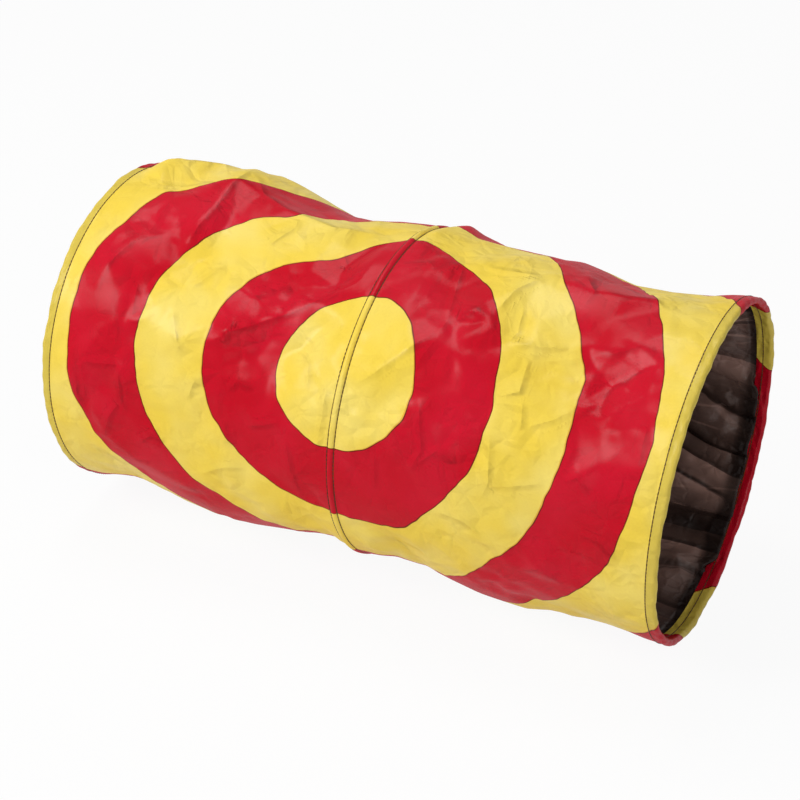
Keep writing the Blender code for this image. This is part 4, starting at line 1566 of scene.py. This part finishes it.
class CATTUNNEL_OT_stage(bpy.types.Operator):
    """Make the floor, the light and the camera"""

    bl_idname = "cattunnel.stage"
    bl_label = "Stage"

    def execute(self, context):
        stage = context.scene.cat_tunnel_stage
        back = Vector(
            (
                math.sin(CAMERA_AZIMUTH) * math.cos(CAMERA_ELEVATION),
                -math.cos(CAMERA_AZIMUTH) * math.cos(CAMERA_ELEVATION),
                math.sin(CAMERA_ELEVATION),
            )
        )
        right = Vector((math.cos(CAMERA_AZIMUTH), math.sin(CAMERA_AZIMUTH), 0))
        up = back.cross(right)
        aim = Vector((0, 0, AXIS_HEIGHT)) + CAMERA_SHIFT_RIGHT * right + CAMERA_SHIFT_UP * up
        turned = Matrix((right, up, back)).transposed().to_4x4()

        camera = bpy.data.objects.new("camera", bpy.data.cameras.new("camera"))
        camera.data.lens = CAMERA_LENS
        camera.data.sensor_width = CAMERA_SENSOR
        camera.data.clip_start = CAMERA_CLIP
        camera.matrix_world = Matrix.Translation(aim + back * CAMERA_DISTANCE) @ turned
        context.scene.collection.objects.link(camera)
        context.scene.camera = camera

        overhead = Vector((-0.25, 0.15, 1.0))
        for name, direction, distance, size, power in (
            ("overhead_light", overhead, 2.2, 1.0, stage.overhead_power),
            ("left_light", -0.72 * right + 0.36 * up + 0.58 * back, 2.2, 0.9, stage.left_power),
            ("low_light", -0.20 * right - 0.42 * up + 0.90 * back, 2.4, 1.4, stage.low_power),
            ("front_light", 0.34 * right + 0.12 * up + 0.93 * back, 2.4, 0.8, stage.front_power),
        ):
            lamp = bpy.data.objects.new(name, bpy.data.lights.new(name, "AREA"))
            lamp.data.shape = "SQUARE"
            lamp.data.size = size
            lamp.data.energy = power
            lamp.location = aim + direction.normalized() * distance
            lamp.rotation_mode = "QUATERNION"
            lamp.rotation_quaternion = direction.to_track_quat("Z", "Y")
            context.scene.collection.objects.link(lamp)

        self.make_floor(context, stage)
        self.make_world(context, stage)
        context.scene.view_settings.view_transform = "Standard"
        return {"FINISHED"}

    @staticmethod
    def make_floor(context, stage):
        """A round floor that shows white to the camera, yet keeps part of the object's soft shadow."""
        turn = np.linspace(0, 2 * math.pi, FLOOR_CORNERS, endpoint=False)
        x, y = FLOOR_RADIUS * np.cos(turn), FLOOR_RADIUS * np.sin(turn)
        points = np.stack([x, y, np.full(FLOOR_CORNERS, -FLOOR_DEPTH)], axis=-1)
        mesh = bpy.data.meshes.new("floor")
        mesh.from_pydata(points.tolist(), [], [list(range(FLOOR_CORNERS))])
        floor = bpy.data.objects.new("floor", mesh)
        context.scene.collection.objects.link(floor)
        paint = Paint("floor", Base_Color=(*stage.floor, 1.0), Roughness=0.9, Specular_IOR_Level=0.0)
        glow = paint.node("ShaderNodeEmission", None, {"Color": (1, 1, 1, 1), "Strength": 1.0})
        lit = Wire(paint, paint.shader.outputs[0])
        mixed = paint.node("ShaderNodeMixShader", None, {0: paint.seen() * FLOOR_GLOW, 1: lit, 2: glow})
        paint.tree.links.new(mixed.socket, paint.tree.nodes["Material Output"].inputs["Surface"])
        mesh.materials.append(paint.material)

    @staticmethod
    def make_world(context, stage):
        """Even light from all round, which the camera and reflections see as white."""
        world = bpy.data.worlds.new("studio")
        context.scene.world = world
        world.use_nodes = True
        graph = Graph(world.node_tree)
        background = graph.tree.nodes["Background"]
        background.inputs["Color"].default_value = (1, 1, 1, 1)
        values = {"Value": graph.seen(), "To Min": stage.fill, "To Max": 1.0}
        level = graph.node("ShaderNodeMapRange", None, values)
        graph.tree.links.new(level.socket, background.inputs["Strength"])


class CATTUNNEL_PT_panel(bpy.types.Panel):
    """Every step of the tunnel's making, with its sizes and colours"""

    bl_idname = "CATTUNNEL_PT_panel"
    bl_label = "Cat tunnel"
    bl_space_type = "VIEW_3D"
    bl_region_type = "UI"
    bl_category = "Tunnel"

    def draw(self, context):
        for step in STEPS:
            self.layout.operator(step.bl_idname)
        for name, group in GROUPS.items():
            for setting in group.__annotations__:
                self.layout.prop(getattr(context.scene, name), setting)


STEPS = (
    CATTUNNEL_OT_ridge,
    CATTUNNEL_OT_cover,
    CATTUNNEL_OT_film,
    CATTUNNEL_OT_lining,
    CATTUNNEL_OT_hems,
    CATTUNNEL_OT_stitching,
    CATTUNNEL_OT_hoops,
    CATTUNNEL_OT_stage,
)
GROUPS = {
    "cat_tunnel_cloth": CatTunnelCloth,
    "cat_tunnel_sewing": CatTunnelSewing,
    "cat_tunnel_stage": CatTunnelStage,
}


def register():
    """Adds the groups of settings, the steps and the panel to Blender."""
    for group in GROUPS.values():
        bpy.utils.register_class(group)
    for step in (*STEPS, CATTUNNEL_PT_panel):
        bpy.utils.register_class(step)
    for name, group in GROUPS.items():
        setattr(bpy.types.Scene, name, bpy.props.PointerProperty(type=group))


def unregister():
    """Takes them out again."""
    for name in GROUPS:
        delattr(bpy.types.Scene, name)
    for step in (CATTUNNEL_PT_panel, *reversed(STEPS)):
        bpy.utils.unregister_class(step)
    for group in GROUPS.values():
        bpy.utils.unregister_class(group)


def main():
    """Takes every step in order."""
    register()
    bpy.ops.cattunnel.ridge()
    bpy.ops.cattunnel.cover()
    bpy.ops.cattunnel.film()
    bpy.ops.cattunnel.lining()
    bpy.ops.cattunnel.hems()
    bpy.ops.cattunnel.stitching()
    bpy.ops.cattunnel.hoops()
    bpy.ops.cattunnel.stage()
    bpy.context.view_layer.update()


if __name__ == "__main__":
    main()
